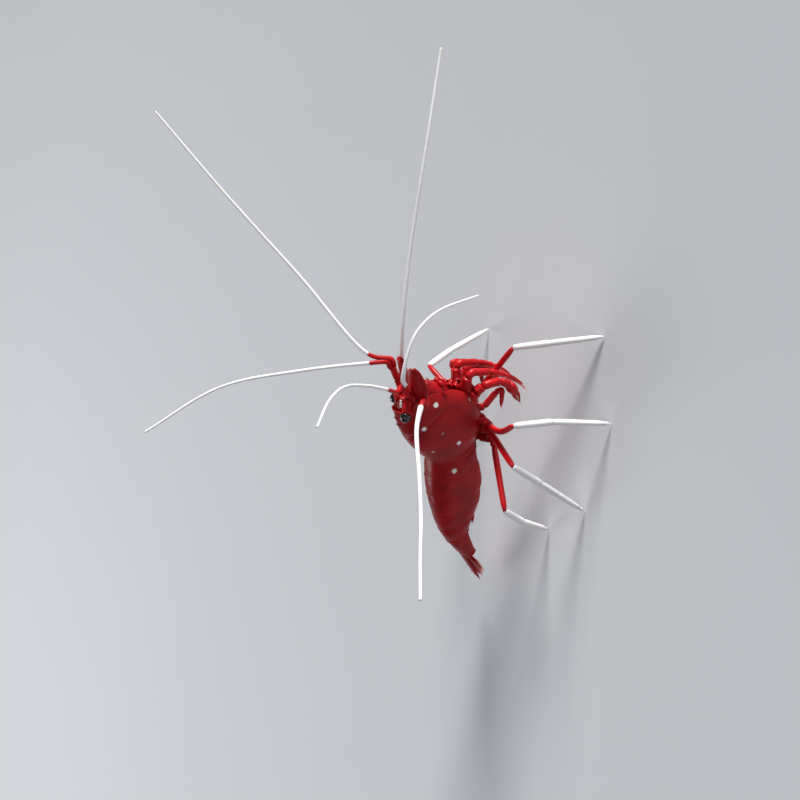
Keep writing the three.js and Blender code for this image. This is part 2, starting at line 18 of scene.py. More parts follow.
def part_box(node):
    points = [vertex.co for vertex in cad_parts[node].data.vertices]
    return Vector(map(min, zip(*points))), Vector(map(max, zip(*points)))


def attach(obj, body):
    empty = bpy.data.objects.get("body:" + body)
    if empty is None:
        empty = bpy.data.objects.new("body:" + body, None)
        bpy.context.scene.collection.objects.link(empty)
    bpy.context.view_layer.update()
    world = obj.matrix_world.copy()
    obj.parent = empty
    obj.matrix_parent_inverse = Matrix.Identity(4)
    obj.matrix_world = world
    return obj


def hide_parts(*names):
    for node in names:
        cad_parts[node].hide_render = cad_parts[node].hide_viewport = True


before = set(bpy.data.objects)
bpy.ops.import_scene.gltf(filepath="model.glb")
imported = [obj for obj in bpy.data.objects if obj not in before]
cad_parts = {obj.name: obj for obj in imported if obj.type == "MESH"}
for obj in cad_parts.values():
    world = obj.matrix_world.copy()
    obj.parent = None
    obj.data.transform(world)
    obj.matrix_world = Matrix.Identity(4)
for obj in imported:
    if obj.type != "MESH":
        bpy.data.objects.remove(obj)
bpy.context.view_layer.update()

MM = 0.001
PITCH = math.radians(38)
AHEAD = Vector((0, -math.cos(PITCH), math.sin(PITCH)))
ABOVE = Vector((0, math.sin(PITCH), math.cos(PITCH)))
RIGHTWARD = Vector((-1, 0, 0))
SHELL_REAR_TOP = Vector((0, 5.5, 19.6))
SIDES = {"right": 1, "left": -1}
EYE_PLACES = {"right": (12.45, 0.95, 2.7), "left": (13, -0.2, -2.2)}


def on_body(ahead, above, out):
    """A place measured ahead of the head shell's rear edge, above it, and out to the right."""
    return SHELL_REAR_TOP + ahead * AHEAD + above * ABOVE + out * RIGHTWARD


def on_side(place, side_sign):
    """The place on the right side, or its mirror image on the left."""
    ahead, above, out = place
    return on_body(ahead, above, out * side_sign)


def path_on_side(places, side_sign):
    """A path of places on the right side, or its mirror image on the left."""
    return [on_side(place, side_sign) for place in places]


def middle(node):
    """The middle of a node's box in the shared frame, in metres."""
    low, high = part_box(node)
    return (low + high) / 2


frame_shift = middle("eye_right") - on_body(*EYE_PLACES["right"]) * MM
TO_FRAME = Matrix.Translation(frame_shift) @ Matrix.Scale(MM, 4)
print("the animal's space starts at", [round(value / MM, 2) for value in frame_shift], "mm in the frame")

# %% [markdown]
# ## Helpers for smooth lines
# A shell's margin is known at a few even places and a limb's path at a few points. Both need a
# smooth line through them. A Catmull-Rom line passes through its points, where a Bezier curve
# would need handles as well.

# %% Values between even levels


def eased(levels, share):
    """The value at a share from 0 to 1 of the way along evenly spaced levels."""
    place = min(max(share, 0), 1) * (len(levels) - 1)
    i = min(int(place), len(levels) - 2)
    part = place - i
    a, b = levels[i], levels[i + 1]
    before = levels[max(i - 1, 0)]
    after = levels[min(i + 2, len(levels) - 1)]
    cubic = 3 * (a - b) + after - before
    square = 2 * before - 5 * a + 4 * b - after
    return a + 0.5 * part * (b - before + part * (square + part * cubic))


def soft_step(low, high, value):
    """0 below low, 1 above high and a smooth step between them."""
    share = min(max((value - low) / (high - low), 0), 1)
    return share * share * (3 - 2 * share)


print("half way along the levels 0, 1 and 4:", eased([0, 1, 4], 0.5))

# %% Smooth lines through a few places
KNOT_STEPS = 10


def evenly(line, steps):
    """The line again as steps + 1 points at equal distances."""
    rows = np.array([list(point) for point in line])
    lengths = np.linalg.norm(np.diff(rows, axis=0), axis=1)
    reached = np.concatenate([[0], np.cumsum(lengths)])
    wanted = np.linspace(0, reached[-1], steps + 1)
    columns = [np.interp(wanted, reached, rows[:, axis]) for axis in range(3)]
    return [Vector(place) for place in zip(*columns)]


def smooth_path(points, steps):
    """A line through the points that turns without loops, however uneven their distances are."""
    points = [Vector(point) for point in points]
    if len(points) == 2:
        return evenly(points, steps)
    knots = [2 * points[0] - points[1], *points, 2 * points[-1] - points[-2]]
    line = []
    for a, b, c, d in zip(knots, knots[1:], knots[2:], knots[3:]):
        at_b = (b - a).length ** 0.5
        at_c = at_b + (c - b).length ** 0.5
        at_d = at_c + (d - c).length ** 0.5
        for k in range(KNOT_STEPS):
            t = at_b + (at_c - at_b) * k / KNOT_STEPS
            ab = a.lerp(b, t / at_b)
            bc = b.lerp(c, (t - at_b) / (at_c - at_b))
            cd = c.lerp(d, (t - at_c) / (at_d - at_c))
            near = ab.lerp(bc, t / at_c)
            far = bc.lerp(cd, (t - at_b) / (at_d - at_b))
            line.append(near.lerp(far, (t - at_b) / (at_c - at_b)))
    line.append(points[-1])
    return evenly(line, steps)


def headings(line):
    """The direction of the line at each of its points."""
    ends = [line[0], *line, line[-1]]
    return [(after - before).normalized() for before, after in zip(ends, ends[2:])]


# %% [markdown]
# ## Helpers for shapes
# Two ways of making cover the whole animal. A limb or feeler is a circle that is extruded from
# station to station. A shell plate or leaf is a flat grid whose points a rule moves into place,
# and a Solidify modifier gives it its wall. A tube's points keep how red they are and a sheet's
# how close they lie to a thin free rim, because the finishes read both.

# %% Closed tubes


def new_shape():
    """An empty shape whose points can keep how red and how near a rim they are."""
    shape = bmesh.new()
    shape.verts.layers.float.new("redness")
    shape.verts.layers.float.new("rim")
    return shape


def station(point, heading, wide, high, up):
    """The matrix that lays a flat circle across a line, at its own width and height."""
    side = up.cross(heading).normalized()
    top = heading.cross(side).normalized()
    turn = Matrix((side, top, heading)).transposed().to_4x4()
    return Matrix.Translation(point) @ turn @ Matrix.Diagonal((wide, high, 1, 1))


def grow_tube(shape, line, sizes, sides=16, up=ABOVE, redness=None):
    """Extrudes a closed tube along a line. A size is one radius, or two: wide and high."""
    red = shape.verts.layers.float["redness"]
    pairs = [size if isinstance(size, tuple) else (size, size) for size in sizes]
    stops = zip(line, headings(line), pairs)
    places = [station(point, heading, *pair, up) for point, heading, pair in stops]
    shares = redness if redness else [1] * len(line)
    circle = bmesh.ops.create_circle(shape, cap_ends=True, segments=sides, radius=1, matrix=places[0])
    ring = circle["verts"]
    edges = list({edge for vert in ring for edge in vert.link_edges})
    for vert in ring:
        vert[red] = shares[0]
    for before, after, share in zip(places, places[1:], shares[1:]):
        grown = bmesh.ops.extrude_edge_only(shape, edges=edges)["geom"]
        ring = [part for part in grown if isinstance(part, bmesh.types.BMVert)]
        bmesh.ops.transform(shape, matrix=after @ before.inverted(), verts=ring)
        members = set(ring)
        new_edges = [part for part in grown if isinstance(part, bmesh.types.BMEdge)]
        edges = [edge for edge in new_edges if set(edge.verts) <= members]
        for vert in ring:
            vert[red] = share
    bmesh.ops.contextual_create(shape, geom=edges)


# %% Sheets that follow a rule


def moved_grid(across, along, rule):
    """A grid whose points a rule places. The rule gets -1 to 1 across and 0 to 1 along."""
    shape = new_shape()
    rim = shape.verts.layers.float["rim"]
    bmesh.ops.create_grid(shape, x_segments=across, y_segments=along, size=1)
    for vert in shape.verts:
        place, edge = rule(vert.co.x, (vert.co.y + 1) / 2)
        vert.co = place
        vert[rim] = edge
    return shape


# %% Turning a shape into a finished piece
made = {}


def add_piece(name, shape, finish, replaces, inside=None, wall=0, centred=False):
    """Puts a shape in the frame as a piece that rides on the body and stands for its nodes."""
    bmesh.ops.remove_doubles(shape, verts=shape.verts, dist=1e-5)
    bmesh.ops.recalc_face_normals(shape, faces=shape.faces)
    if inside is not None:
        outward = sum((face.calc_center_median() - inside).dot(face.normal) for face in shape.faces)
        if outward < 0:
            bmesh.ops.reverse_faces(shape, faces=shape.faces)
    for face in shape.faces:
        face.smooth = True
    bmesh.ops.transform(shape, matrix=TO_FRAME, verts=shape.verts)
    mesh = bpy.data.meshes.new(name)
    shape.to_mesh(mesh)
    shape.free()
    piece = bpy.data.objects.new(name, mesh)
    bpy.context.scene.collection.objects.link(piece)
    mesh.materials.append(finish)
    if wall:
        thickness = piece.modifiers.new("wall", "SOLIDIFY")
        thickness.thickness = wall * MM
        thickness.offset = 0 if centred else -1
    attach(piece, "root")
    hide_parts(*replaces)
    made[name] = len(mesh.polygons)
    return piece


# %% [markdown]
# ## Finishes
# The live shell is a deep scarlet lacquer over red flesh: it varies over a millimetre or so,
# it is finely speckled with pigment cells, and it has a wet gloss. The limbs carry the same red
# on one side of a joint and bone white on the other, so one finish reads how red each point is.
# The pale spots on the shell are pigment too, so they are drawn in the colour and not as bumps.

# %% Small helpers for shader nodes
DEEP_RED = (0.24, 0.001, 0.003, 1)
SCARLET = (0.42, 0.002, 0.005, 1)
RIM_RED = (0.55, 0.01, 0.012, 1)
PIGMENT_RED = (0.62, 0.006, 0.008, 1)
LIMB_RED = (0.58, 0.003, 0.007, 1)
BONE_WHITE = (0.93, 0.93, 0.94, 1)
IVORY = (0.88, 0.87, 0.85, 1)
SPOT_WHITE = (0.92, 0.88, 0.84, 1)
DEEP_ROSE = (0.55, 0.05, 0.045, 1)
PALE_ROSE = (0.8, 0.3, 0.26, 1)
CORNEA_BLACK = (0.004, 0.003, 0.004, 1)
CORNEA_RED = (0.012, 0.003, 0.003, 1)
FLESH_DEPTH = 0.6


class Finish:
    """A material whose nodes are added one line at a time."""

    def __init__(self, name, roughness, coat, flesh=0.0, mirror=0.5):
        self.material = bpy.data.materials.new(name)
        self.material.use_nodes = True
        self.tree = self.material.node_tree
        self.shader = self.tree.nodes["Principled BSDF"]
        self.shader.inputs["Roughness"].default_value = roughness
        self.shader.inputs["Coat Weight"].default_value = coat
        self.shader.inputs["Specular IOR Level"].default_value = mirror
        self.shader.inputs["Coat Roughness"].default_value = 0.12
        self.shader.inputs["Subsurface Weight"].default_value = flesh
        self.shader.inputs["Subsurface Radius"].default_value = (1.0, 0.25, 0.15)
        self.shader.inputs["Subsurface Scale"].default_value = FLESH_DEPTH * MM
        self.place = self.node("ShaderNodeTexCoord").outputs["Object"]

    def node(self, kind, links=None, **settings):
        """Adds a node. Each of its sockets gets a number or another node's output."""
        added = self.tree.nodes.new(kind)
        for name, value in settings.items():
            setattr(added, name, value)
        for socket, value in (links or {}).items():
            if isinstance(value, bpy.types.NodeSocket):
                self.tree.links.new(value, added.inputs[socket])
            else:
                added.inputs[socket].default_value = value
        return added

    def noise(self, size_mm, detail=3):
        links = {"Vector": self.place, "Scale": 1 / (size_mm * MM), "Detail": detail}
        return self.node("ShaderNodeTexNoise", links).outputs["Fac"]

    def cells(self, size_mm):
        links = {"Vector": self.place, "Scale": 1 / (size_mm * MM)}
        return self.node("ShaderNodeTexVoronoi", links).outputs["Distance"]

    def step(self, value, low, high, start=0.0, end=1.0):
        """A smooth change from start to end while the value goes from low to high."""
        links = {"Value": value, "From Min": low, "From Max": high, "To Min": start, "To Max": end}
        return self.node("ShaderNodeMapRange", links, interpolation_type="SMOOTHSTEP").outputs["Result"]

    def maths(self, operation, *values):
        return self.node("ShaderNodeMath", dict(enumerate(values)), operation=operation).outputs["Value"]

    def mix(self, factor, first, second):
        links = {"Factor": factor, 6: first, 7: second}
        return self.node("ShaderNodeMix", links, data_type="RGBA").outputs[2]

    def attribute(self, name):
        return self.node("ShaderNodeAttribute", attribute_name=name).outputs["Fac"]

    def end(self, colour, relief, depth_mm, strength):
        """Joins the colour and the relief to the shader, which finishes the material."""
        self.tree.links.new(colour, self.shader.inputs["Base Color"])
        links = {"Height": relief, "Distance": depth_mm * MM, "Strength": strength}
        bump = self.node("ShaderNodeBump", links)
        self.tree.links.new(bump.outputs["Normal"], self.shader.inputs["Normal"])
        return self.material


# %% The white spots
# Each spot: ahead, above and out of its middle on the right side, its radius and how white it is.
SHELL_SPOTS = [
    (11.23, -4.38, 3.03, 0.41, 1), (8.63, -0.85, 3.11, 0.39, 1), (3.58, -0.54, 3.1, 0.23, 0.5),
    (2.58, -4.95, 3.83, 0.39, 1), (-2.19, -2.36, 3.36, 0.41, 1), (7.97, -10.06, 2.75, 0.39, 0.35),
    (6.2, -3.2, 3.75, 0.25, 0.25), (0.4, -7.2, 3.5, 0.28, 0.3),
]
# The long mark over each eye is three spots in a row.
BROW_SPOTS = [(14.26, 0.03, 0.8, 0.2, 1), (13.91, 0.27, 0.96, 0.22, 1), (13.52, 0.48, 1.06, 0.22, 1)]


def spotted(finish, colour, spots):
    """The colour with white spots on both sides, whose edges are a little ragged."""
    ragged = finish.step(finish.noise(0.35), 0.2, 0.8, -0.06, 0.06)
    for side in SIDES.values():
        for ahead, above, out, radius, whiteness in spots:
            centre = TO_FRAME @ on_body(ahead, above, out * side)
            span = finish.node("ShaderNodeVectorMath", {0: finish.place, 1: centre}, operation="DISTANCE")
            reach = finish.maths("MULTIPLY_ADD", span.outputs["Value"], 1 / MM, ragged)
            spot = finish.step(reach, radius * 1.25, radius * 0.75, 0.0, whiteness)
            colour = finish.mix(spot, colour, SPOT_WHITE)
    return colour


print("white spots on each side:", len(SHELL_SPOTS), "and", len(BROW_SPOTS), "over the eye")

# %% [markdown]
# ## One finish for each kind of surface
# Shell, limbs, eyes, skin and bristles differ in gloss as much as in colour. Each finish is one
# small function: a slow change of colour, a fine pattern over it, and a shallow relief.

# %% The five finishes


def shell_finish():
    """Deep scarlet lacquer with pigment cells, paler rims and the scattered white spots."""
    shell = Finish("shell_red", roughness=0.36, coat=0.1, flesh=0.12, mirror=0.22)
    cloud = shell.step(shell.noise(3.4), 0.25, 0.75)
    colour = shell.mix(cloud, DEEP_RED, SCARLET)
    pigment = shell.step(shell.cells(0.16), 0.1, 0.75, 0.25, 0.0)
    colour = shell.mix(pigment, colour, PIGMENT_RED)
    rim = shell.maths("MULTIPLY", shell.attribute("rim"), 0.4)
    colour = spotted(shell, shell.mix(rim, colour, RIM_RED), SHELL_SPOTS)
    pits = shell.maths("MULTIPLY_ADD", shell.cells(0.22), 0.5, shell.noise(0.7, 5))
    return shell.end(colour, pits, 0.05, 0.35)


def limb_finish():
    """Red where the point's redness is 1 and bone white where it is 0, with a broken border."""
    limb = Finish("limb_red_and_white", roughness=0.38, coat=0.1, flesh=0.1, mirror=0.25)
    ragged = limb.step(limb.noise(0.4), 0.2, 0.8, -0.22, 0.22)
    redness = limb.step(limb.maths("ADD", limb.attribute("redness"), ragged), 0.35, 0.65)
    red = limb.mix(limb.step(limb.noise(1.2), 0.3, 0.7), SCARLET, LIMB_RED)
    white = limb.mix(limb.step(limb.noise(0.8), 0.3, 0.7), IVORY, BONE_WHITE)
    colour = limb.mix(redness, white, red)
    return limb.end(colour, limb.noise(0.25, 4), 0.03, 0.4)


def eye_finish():
    """The cornea is nearly black, with a low red glow and hundreds of tiny lenses."""
    eye = Finish("eye_black", roughness=0.12, coat=0.6)
    colour = eye.mix(eye.step(eye.noise(0.5), 0.35, 0.7), CORNEA_BLACK, CORNEA_RED)
    return eye.end(colour, eye.cells(0.07), 0.006, 0.15)


def belly_finish():
    """Soft skin between the hard plates: duller, darker and finely creased."""
    belly = Finish("belly_red", roughness=0.42, coat=0.05, flesh=0.2, mirror=0.22)
    colour = belly.mix(belly.step(belly.noise(1.6), 0.3, 0.7), DEEP_RED, SCARLET)
    return belly.end(spotted(belly, colour, BROW_SPOTS), belly.noise(0.3, 5), 0.06, 0.5)


def bristle_finish():
    """Thin horn that looks paler than the shell it grows on."""
    bristle = Finish("bristle_rose", roughness=0.45, coat=0.1)
    colour = bristle.mix(bristle.step(bristle.noise(2), 0.35, 0.65), DEEP_ROSE, PALE_ROSE)
    return bristle.end(colour, bristle.noise(0.2), 0.01, 0.2)


SHELL_RED = shell_finish()
LIMB = limb_finish()
EYE_BLACK = eye_finish()
BELLY_RED = belly_finish()
BRISTLE_ROSE = bristle_finish()
print("finishes:", [finish.name for finish in (SHELL_RED, LIMB, EYE_BLACK, BELLY_RED, BRISTLE_ROSE)])

# %% [markdown]
# ## The head shell
# The carapace is one saddle of shell over the head and thorax, open below and at both ends. Its
# side margin sweeps up to the mouth and its front margin has a notch for each eye. A grid that
# is wrapped over the back follows both margins exactly, and relief is added along the normal:
# the groove behind the head, the swollen gill chambers and a rolled lower edge.

# %% The head shell's form
SHELL_LENGTH = 13
SHELL_HALF_WIDTH = 3.95
SHELL_FRONT_HALF_WIDTH = 2.4
SHELL_REAR_HALF_WIDTH = 3.2
SHELL_REAR_RISE = -0.2
SHELL_BACK_RISE = 0.8
SHELL_ARCH = 1.5
SHELL_BROW = 0.6
SHELL_WIDEST = 0.4
# The lower margin's height from rear to front, and both ends' places from low to high.
SHELL_LOWER_EDGE = [-8.6, -10, -10.8, -11, -11.1, -11, -10.7, -9.6, -8, -6.3]
SHELL_REAR_EDGE = [0.9, -0.6, -1.1, -1, -0.6, -0.1, 0]
SHELL_FRONT_EDGE = [11, 12.6, 13.3, 13.4, 13.1, 12, 13]
SHELL_WRAP = math.radians(156)
SHELL_BACK_FULLNESS = 0.75
SHELL_FLANK_FULLNESS = 0.5
SHELL_WALL = 0.18
SHELL_INSIDE = on_body(6, -4.5, 0)


def shell_half_width(ahead):
    """The shell is widest over the gills and narrows to both ends."""
    past = ahead / SHELL_LENGTH - SHELL_WIDEST
    end = SHELL_REAR_HALF_WIDTH if past < 0 else SHELL_FRONT_HALF_WIDTH
    run = -past / SHELL_WIDEST if past < 0 else past / (1 - SHELL_WIDEST)
    return SHELL_HALF_WIDTH + (end - SHELL_HALF_WIDTH) * min(1, run) ** 2


def shell_top(ahead):
    """How far the middle of the back rises above the straight line from rear to front."""
    share = min(max(ahead / SHELL_LENGTH, 0), 1)
    line = SHELL_REAR_RISE + (SHELL_BACK_RISE - SHELL_REAR_RISE) * share
    return line + SHELL_ARCH * math.sin(math.pi * share) + SHELL_BROW * share ** 5


def raised(value, power):
    """A power that keeps the sign, which makes a round section fuller or slimmer."""
    return math.copysign(abs(value) ** power, value)


def ridge(value, middle_value, half_width):
    """1 at the middle, falling smoothly to 0 at half_width either side."""
    return 1 - soft_step(0, half_width, abs(value - middle_value))


def shell_point(across, along):
    """A point of the head shell and how close it is to a margin."""
    angle = across * SHELL_WRAP
    height = (1 + raised(math.cos(angle), 0.85)) / 2
    rear, front = eased(SHELL_REAR_EDGE, height), eased(SHELL_FRONT_EDGE, height)
    ahead = rear + (front - rear) * along
    bottom = eased(SHELL_LOWER_EDGE, ahead / SHELL_LENGTH)
    above = bottom + (shell_top(ahead) - bottom) * height
    fullness = SHELL_BACK_FULLNESS if math.cos(angle) > 0 else SHELL_FLANK_FULLNESS
    out = shell_half_width(ahead) * raised(math.sin(angle), fullness)
    # The relief: how far each form rises or sinks, where along the body, and where up the side.
    groove = 0.16 * ridge(ahead, 9.9 - 2.2 * height ** 2, 0.55) * soft_step(0.28, 0.45, height)
    gill = 0.14 * ridge(ahead, 4.2, 4.5) * ridge(height, 0.35, 0.4)
    cheek = 0.1 * ridge(ahead, 10.2, 1.6) * ridge(height, 0.45, 0.25)
    rolled = 0.12 * soft_step(0.95, 1, abs(across))
    rolled += 0.08 * soft_step(0.97, 1, along) + 0.08 * soft_step(0.03, 0, along)
    keel = 0.16 * soft_step(6.5, 9.5, ahead) * soft_step(0.1, 0, abs(across))
    lift = gill + cheek + rolled + keel - groove
    outward = math.sin(angle) * RIGHTWARD + math.cos(angle) * ABOVE
    ends = max(soft_step(0.95, 1, along), soft_step(0.04, 0, along))
    edge = max(soft_step(0.9, 1, abs(across)), ends)
    return on_body(ahead, above, out) + lift * outward, edge


carapace = moved_grid(120, 96, shell_point)
add_piece("carapace", carapace, SHELL_RED, ["carapace"], SHELL_INSIDE, SHELL_WALL)
print("head shell:", made["carapace"], "faces")

# %% [markdown]
# ## The saw-toothed beak
# The rostrum is a thin upright blade between the eyes that runs back as a toothed crest. Its
# outline is one flat face with a point for each tooth, extruded to its thickness and bevelled,
# as a sheet of card would be cut and sanded. Two short spines stand on each side of the head,
# one under the eye and one on the cheek.

# %% The beak's outline and the spines of the head
CREST_REAR = (8.6, -0.2)
CREST_LIFT = 0.14
BEAK_START = 12
BEAK_TIP = (15, 0)
BEAK_UNDERSIDE = [(14.55, -0.42), (14.2, -0.8), (13.9, -0.6), (12.6, -1.1), (8, -0.6)]
BEAK_THICKNESS = 0.5
BEAK_BEVEL = 0.11
TOOTH_STARTS = [9.4, 10.8, 12, 13, 13.8]
# One tooth's outline: how far ahead of its start, and how far above the crest.
TOOTH_FORM = [(0, 0), (0.42, 0.176), (0.7, 0.32), (0.8, 0.04)]
# The spines' places on the right side, and a radius for each step along them.
UNDER_EYE_SPINE = [(11.6, -2.3, 2.4), (12.9, -2.35, 2.75), (13.7, -2.3, 2.8)]
UNDER_EYE_RADII = [0.36, 0.34, 0.31, 0.28, 0.24, 0.2, 0.15, 0.1, 0.04]
CHEEK_SPINE = [(11.2, -6.6, 2.5), (12, -6.5, 2.6), (12.6, -6.3, 2.5)]
CHEEK_RADII = [0.3, 0.27, 0.23, 0.18, 0.13, 0.08, 0.04]


def crest_top(ahead):
    """The beak follows the shell's back, and then runs straight to its tip."""
    share = max(0, (ahead - BEAK_START) / (BEAK_TIP[0] - BEAK_START))
    return (shell_top(min(ahead, BEAK_START)) + CREST_LIFT) * (1 - share) + BEAK_TIP[1] * share


def beak_outline():
    outline = [(CREST_REAR[0], crest_top(CREST_REAR[0]) + CREST_REAR[1])]
    for start in TOOTH_STARTS:
        outline += [(start + run, crest_top(start + run) + rise) for run, rise in TOOTH_FORM]
    return [*outline, BEAK_TIP, *BEAK_UNDERSIDE]


beak = new_shape()
corners = [beak.verts.new(on_body(ahead, above, -BEAK_THICKNESS / 2)) for ahead, above in beak_outline()]
near_side = beak.faces.new(corners)
grown = bmesh.ops.extrude_face_region(beak, geom=[near_side])["geom"]
far_side = [part for part in grown if isinstance(part, bmesh.types.BMVert)]
bmesh.ops.translate(beak, vec=RIGHTWARD * BEAK_THICKNESS, verts=far_side)
bmesh.ops.recalc_face_normals(beak, faces=beak.faces)
spans = [(edge, edge.verts[0].co - edge.verts[1].co) for edge in beak.edges]
long_edges = [edge for edge, span in spans if abs(span.x) < 1e-6]
bmesh.ops.bevel(beak, geom=long_edges, offset=BEAK_BEVEL, offset_type="OFFSET", segments=3,
                profile=0.5, affect="EDGES", material=-1, clamp_overlap=True)
for side_sign in SIDES.values():
    for places, radii in ((UNDER_EYE_SPINE, UNDER_EYE_RADII), (CHEEK_SPINE, CHEEK_RADII)):
        spine = smooth_path(path_on_side(places, side_sign), len(radii) - 1)
        grow_tube(beak, spine, radii, 10)
add_piece("rostrum", beak, SHELL_RED, ["carapace"])
print("beak:", len(TOOTH_STARTS), "teeth,", made["rostrum"], "faces")

# %% [markdown]
# ## The abdomen
# Six rings follow one another like the plates of a lobster tail. Each plate is a roof over the
# back that hangs down in a rounded lobe on each side, and its rear edge covers the next plate's
# front. The second plate's lobes cover both neighbours, as in all shrimps of this order. Every
# plate is the same rule between two joint planes, so the whole tail is one loop.

# %% The joint planes of the tail
# Each ring's length and the slope of its back, and then its lobes' depth.
SOMITE_LENGTHS = [2.8, 3.6, 4.4, 3.2, 3, 5]
SOMITE_SLOPES = [10, 20, 28, 33, 42, 52]
LOBES = [0.6, 0.8, 0.7, 0.5, 0.3, 0]
# At each of the seven joints: its tilt, the ring's depth and half width, and the belly's hollow.
JOINT_TILTS = [38, 29, 28, 31, 38, 47, 50]
JOINT_DEPTHS = [8.8, 9.4, 9.6, 8.7, 7, 4.7, 2.8]
JOINT_HALF_WIDTHS = [3.25, 3.45, 3.4, 3.1, 2.65, 2.1, 1.55]
UNDERSIDE_HOLLOWS = [1.2, 1.9, 1.9, 1.7, 1.3, 0.4, 0]
ABDOMEN_START = Vector((0, 5.5, 19.5))


def sloping(degrees):
    """The line that falls by an angle towards the tail, and the line down from it."""
    angle = math.radians(degrees)
    back = Vector((0, math.cos(angle), -math.sin(angle)))
    down = Vector((0, -math.sin(angle), -math.cos(angle)))
    return back, down


joint_tops = [ABDOMEN_START]
for length, slope in zip(SOMITE_LENGTHS, SOMITE_SLOPES):
    joint_tops.append(joint_tops[-1] + length * sloping(slope)[0])
joint_backs = [sloping(tilt)[0] for tilt in JOINT_TILTS]
joint_downs = [sloping(tilt)[1] for tilt in JOINT_TILTS]
print("tail joints:", len(joint_tops), "over", sum(SOMITE_LENGTHS), "mm")

# %% One rule for every tail plate
PLATE_WRAP = math.radians(134)
PLATE_OVERLAP = 0.55
PLATE_FRONT = -0.04
PLATE_WALL = 0.14
# The first plate tucks under the head shell, and the second plate's lobes cover both neighbours.
TUCKED, BROAD = 0, 1


def between(values, i, share):
    """The value part of the way from one joint to the next."""
    return values[i] * (1 - share) + values[i + 1] * share


def plate_point(i, across, along):
    """A point of the tail's plate number i and how close it is to a free margin."""
    angle = across * PLATE_WRAP
    drop = (1 - math.cos(angle)) / 2
    last = 1 + PLATE_OVERLAP / SOMITE_LENGTHS[i]
    share = PLATE_FRONT + (last - PLATE_FRONT) * along
    if i == BROAD:
        share = 0.5 + (share - 0.5) * (1 + 0.45 * soft_step(0.35, 0.75, drop))
    held = min(max(share, 0), 1)
    swell = math.sin(math.pi * held)
    down = joint_downs[i].lerp(joint_downs[i + 1], share).normalized()
    lobe = LOBES[i] * math.sin(math.pi * min(max(along, 0), 1)) ** 0.6
    depth = between(JOINT_DEPTHS, i, held) + lobe - 0.25
    half_width = between(JOINT_HALF_WIDTHS, i, held) + 0.12 * swell
    top = joint_tops[i].lerp(joint_tops[i + 1], share) - 0.15 * swell * down
    place = top + depth * drop * down
    place.x = -half_width * raised(math.sin(angle), 0.8)
    if i == TUCKED:
        edge = eased(SHELL_REAR_EDGE, 1 - drop)
        place += AHEAD * (edge + 0.5) * (1 - held)
    outward = (math.sin(angle) * RIGHTWARD - math.cos(angle) * down).normalized()
    cover = 0.08 * soft_step(0.4, 1, along) - 0.1 * soft_step(0.4, 0, along)
    if i == BROAD:
        cover += 0.16 * soft_step(0.5, 0.8, drop)
    fold = -0.025 * ridge(along, 0.62, 0.05) * soft_step(0.85, 0.5, drop)
    rolled = 0.03 * soft_step(0.955, 1, along) + 0.07 * soft_step(0.95, 1, abs(across))
    rim = max(soft_step(0.92, 1, along), soft_step(0.9, 1, abs(across)))
    return place + (cover + fold + rolled) * outward, rim


for i in range(len(SOMITE_LENGTHS)):
    plate = moved_grid(72, 34, lambda across, along: plate_point(i, across, along))
    centre = joint_tops[i].lerp(joint_tops[i + 1], 0.5) + joint_downs[i] * JOINT_DEPTHS[i] / 2
    add_piece(f"abdomen_{i + 1}", plate, SHELL_RED, [f"abdomen_{i + 1}"], centre, PLATE_WALL)
plate_faces = [count for name, count in made.items() if name.startswith("abdomen")]
print("tail plates:", len(plate_faces), "with", sum(plate_faces), "faces")

# %% [markdown]
# ## Leaves: tail fan, feeler scales and paddles
# The flat parts of the animal are all leaves: a line from root to tip, a width on each side of
# it and a stiffened middle. A leaf is a grid laid out by that rule, with a rounded tip from its
# outline and its wall from Solidify. Its margins are remembered, because bristles grow there.

# %% The rule of a leaf


class Leaf:
    """A flat blade from a root to a tip. The outline gives its half width at even shares."""

    def __init__(self, root, tip, width, half_width, outline, arch, rib, wall):
        self.root, self.tip = Vector(root), Vector(tip)
        self.heading = (self.tip - self.root).normalized()
        self.width = (width - width.dot(self.heading) * self.heading).normalized()
        self.face = self.heading.cross(self.width)
        self.half_width = half_width
        self.outline = outline
        self.arch = arch
        self.rib = rib
        self.wall = wall

    def point(self, across, along):
        """A place on the blade: -1 to 1 from edge to edge and 0 to 1 from root to tip."""
        half = self.half_width * max(eased(self.outline, along), 0.02)
        midrib = self.rib * ridge(across, 0, 0.16) * soft_step(1, 0.8, along)
        hump = self.arch * (1 - across ** 2) + midrib
        return self.root.lerp(self.tip, along) + across * half * self.width + hump * self.face

    def rule(self, across, along):
        """The place and its rim share, as the grid of a sheet needs them."""
        edge = max(soft_step(0.75, 1, abs(across)), soft_step(0.9, 1, along))
        return self.point(across, along), edge


leaves = {}


def add_leaf(name, leaf, replaces):
    """Makes the leaf's piece and remembers the leaf, because bristles grow on its margins."""
    leaves[name] = leaf
    grid = moved_grid(20, 36, leaf.rule)
    add_piece(name, grid, SHELL_RED, replaces, wall=leaf.wall, centred=True)


# %% [markdown]
# ## The tail fan
# The telson is the pointed last plate, with two pairs of small spines on its back and two at
# its end. The two leaves on each side of it are folded under it here, the outer ones lowest and
# shortest.

# %% The tail fan
TAIL_SLOPE = 44
TAIL_ALONG, TAIL_DOWN = sloping(TAIL_SLOPE)
TAIL_START = joint_tops[6] + 0.2 * joint_backs[6]
TELSON_LENGTH = 6.9
TELSON_DOWN = 0.25
TELSON_WIDTHS = [1.05, 1, 0.92, 0.83, 0.73, 0.62, 0.5, 0.36, 0.14]
TELSON_HEIGHTS = [0.42, 0.42, 0.41, 0.4, 0.38, 0.35, 0.31, 0.25, 0.1]
TAIL_LEAF_OUTLINE = [0.45, 0.72, 0.88, 0.97, 1, 1, 0.97, 0.86, 0.62, 0.1]
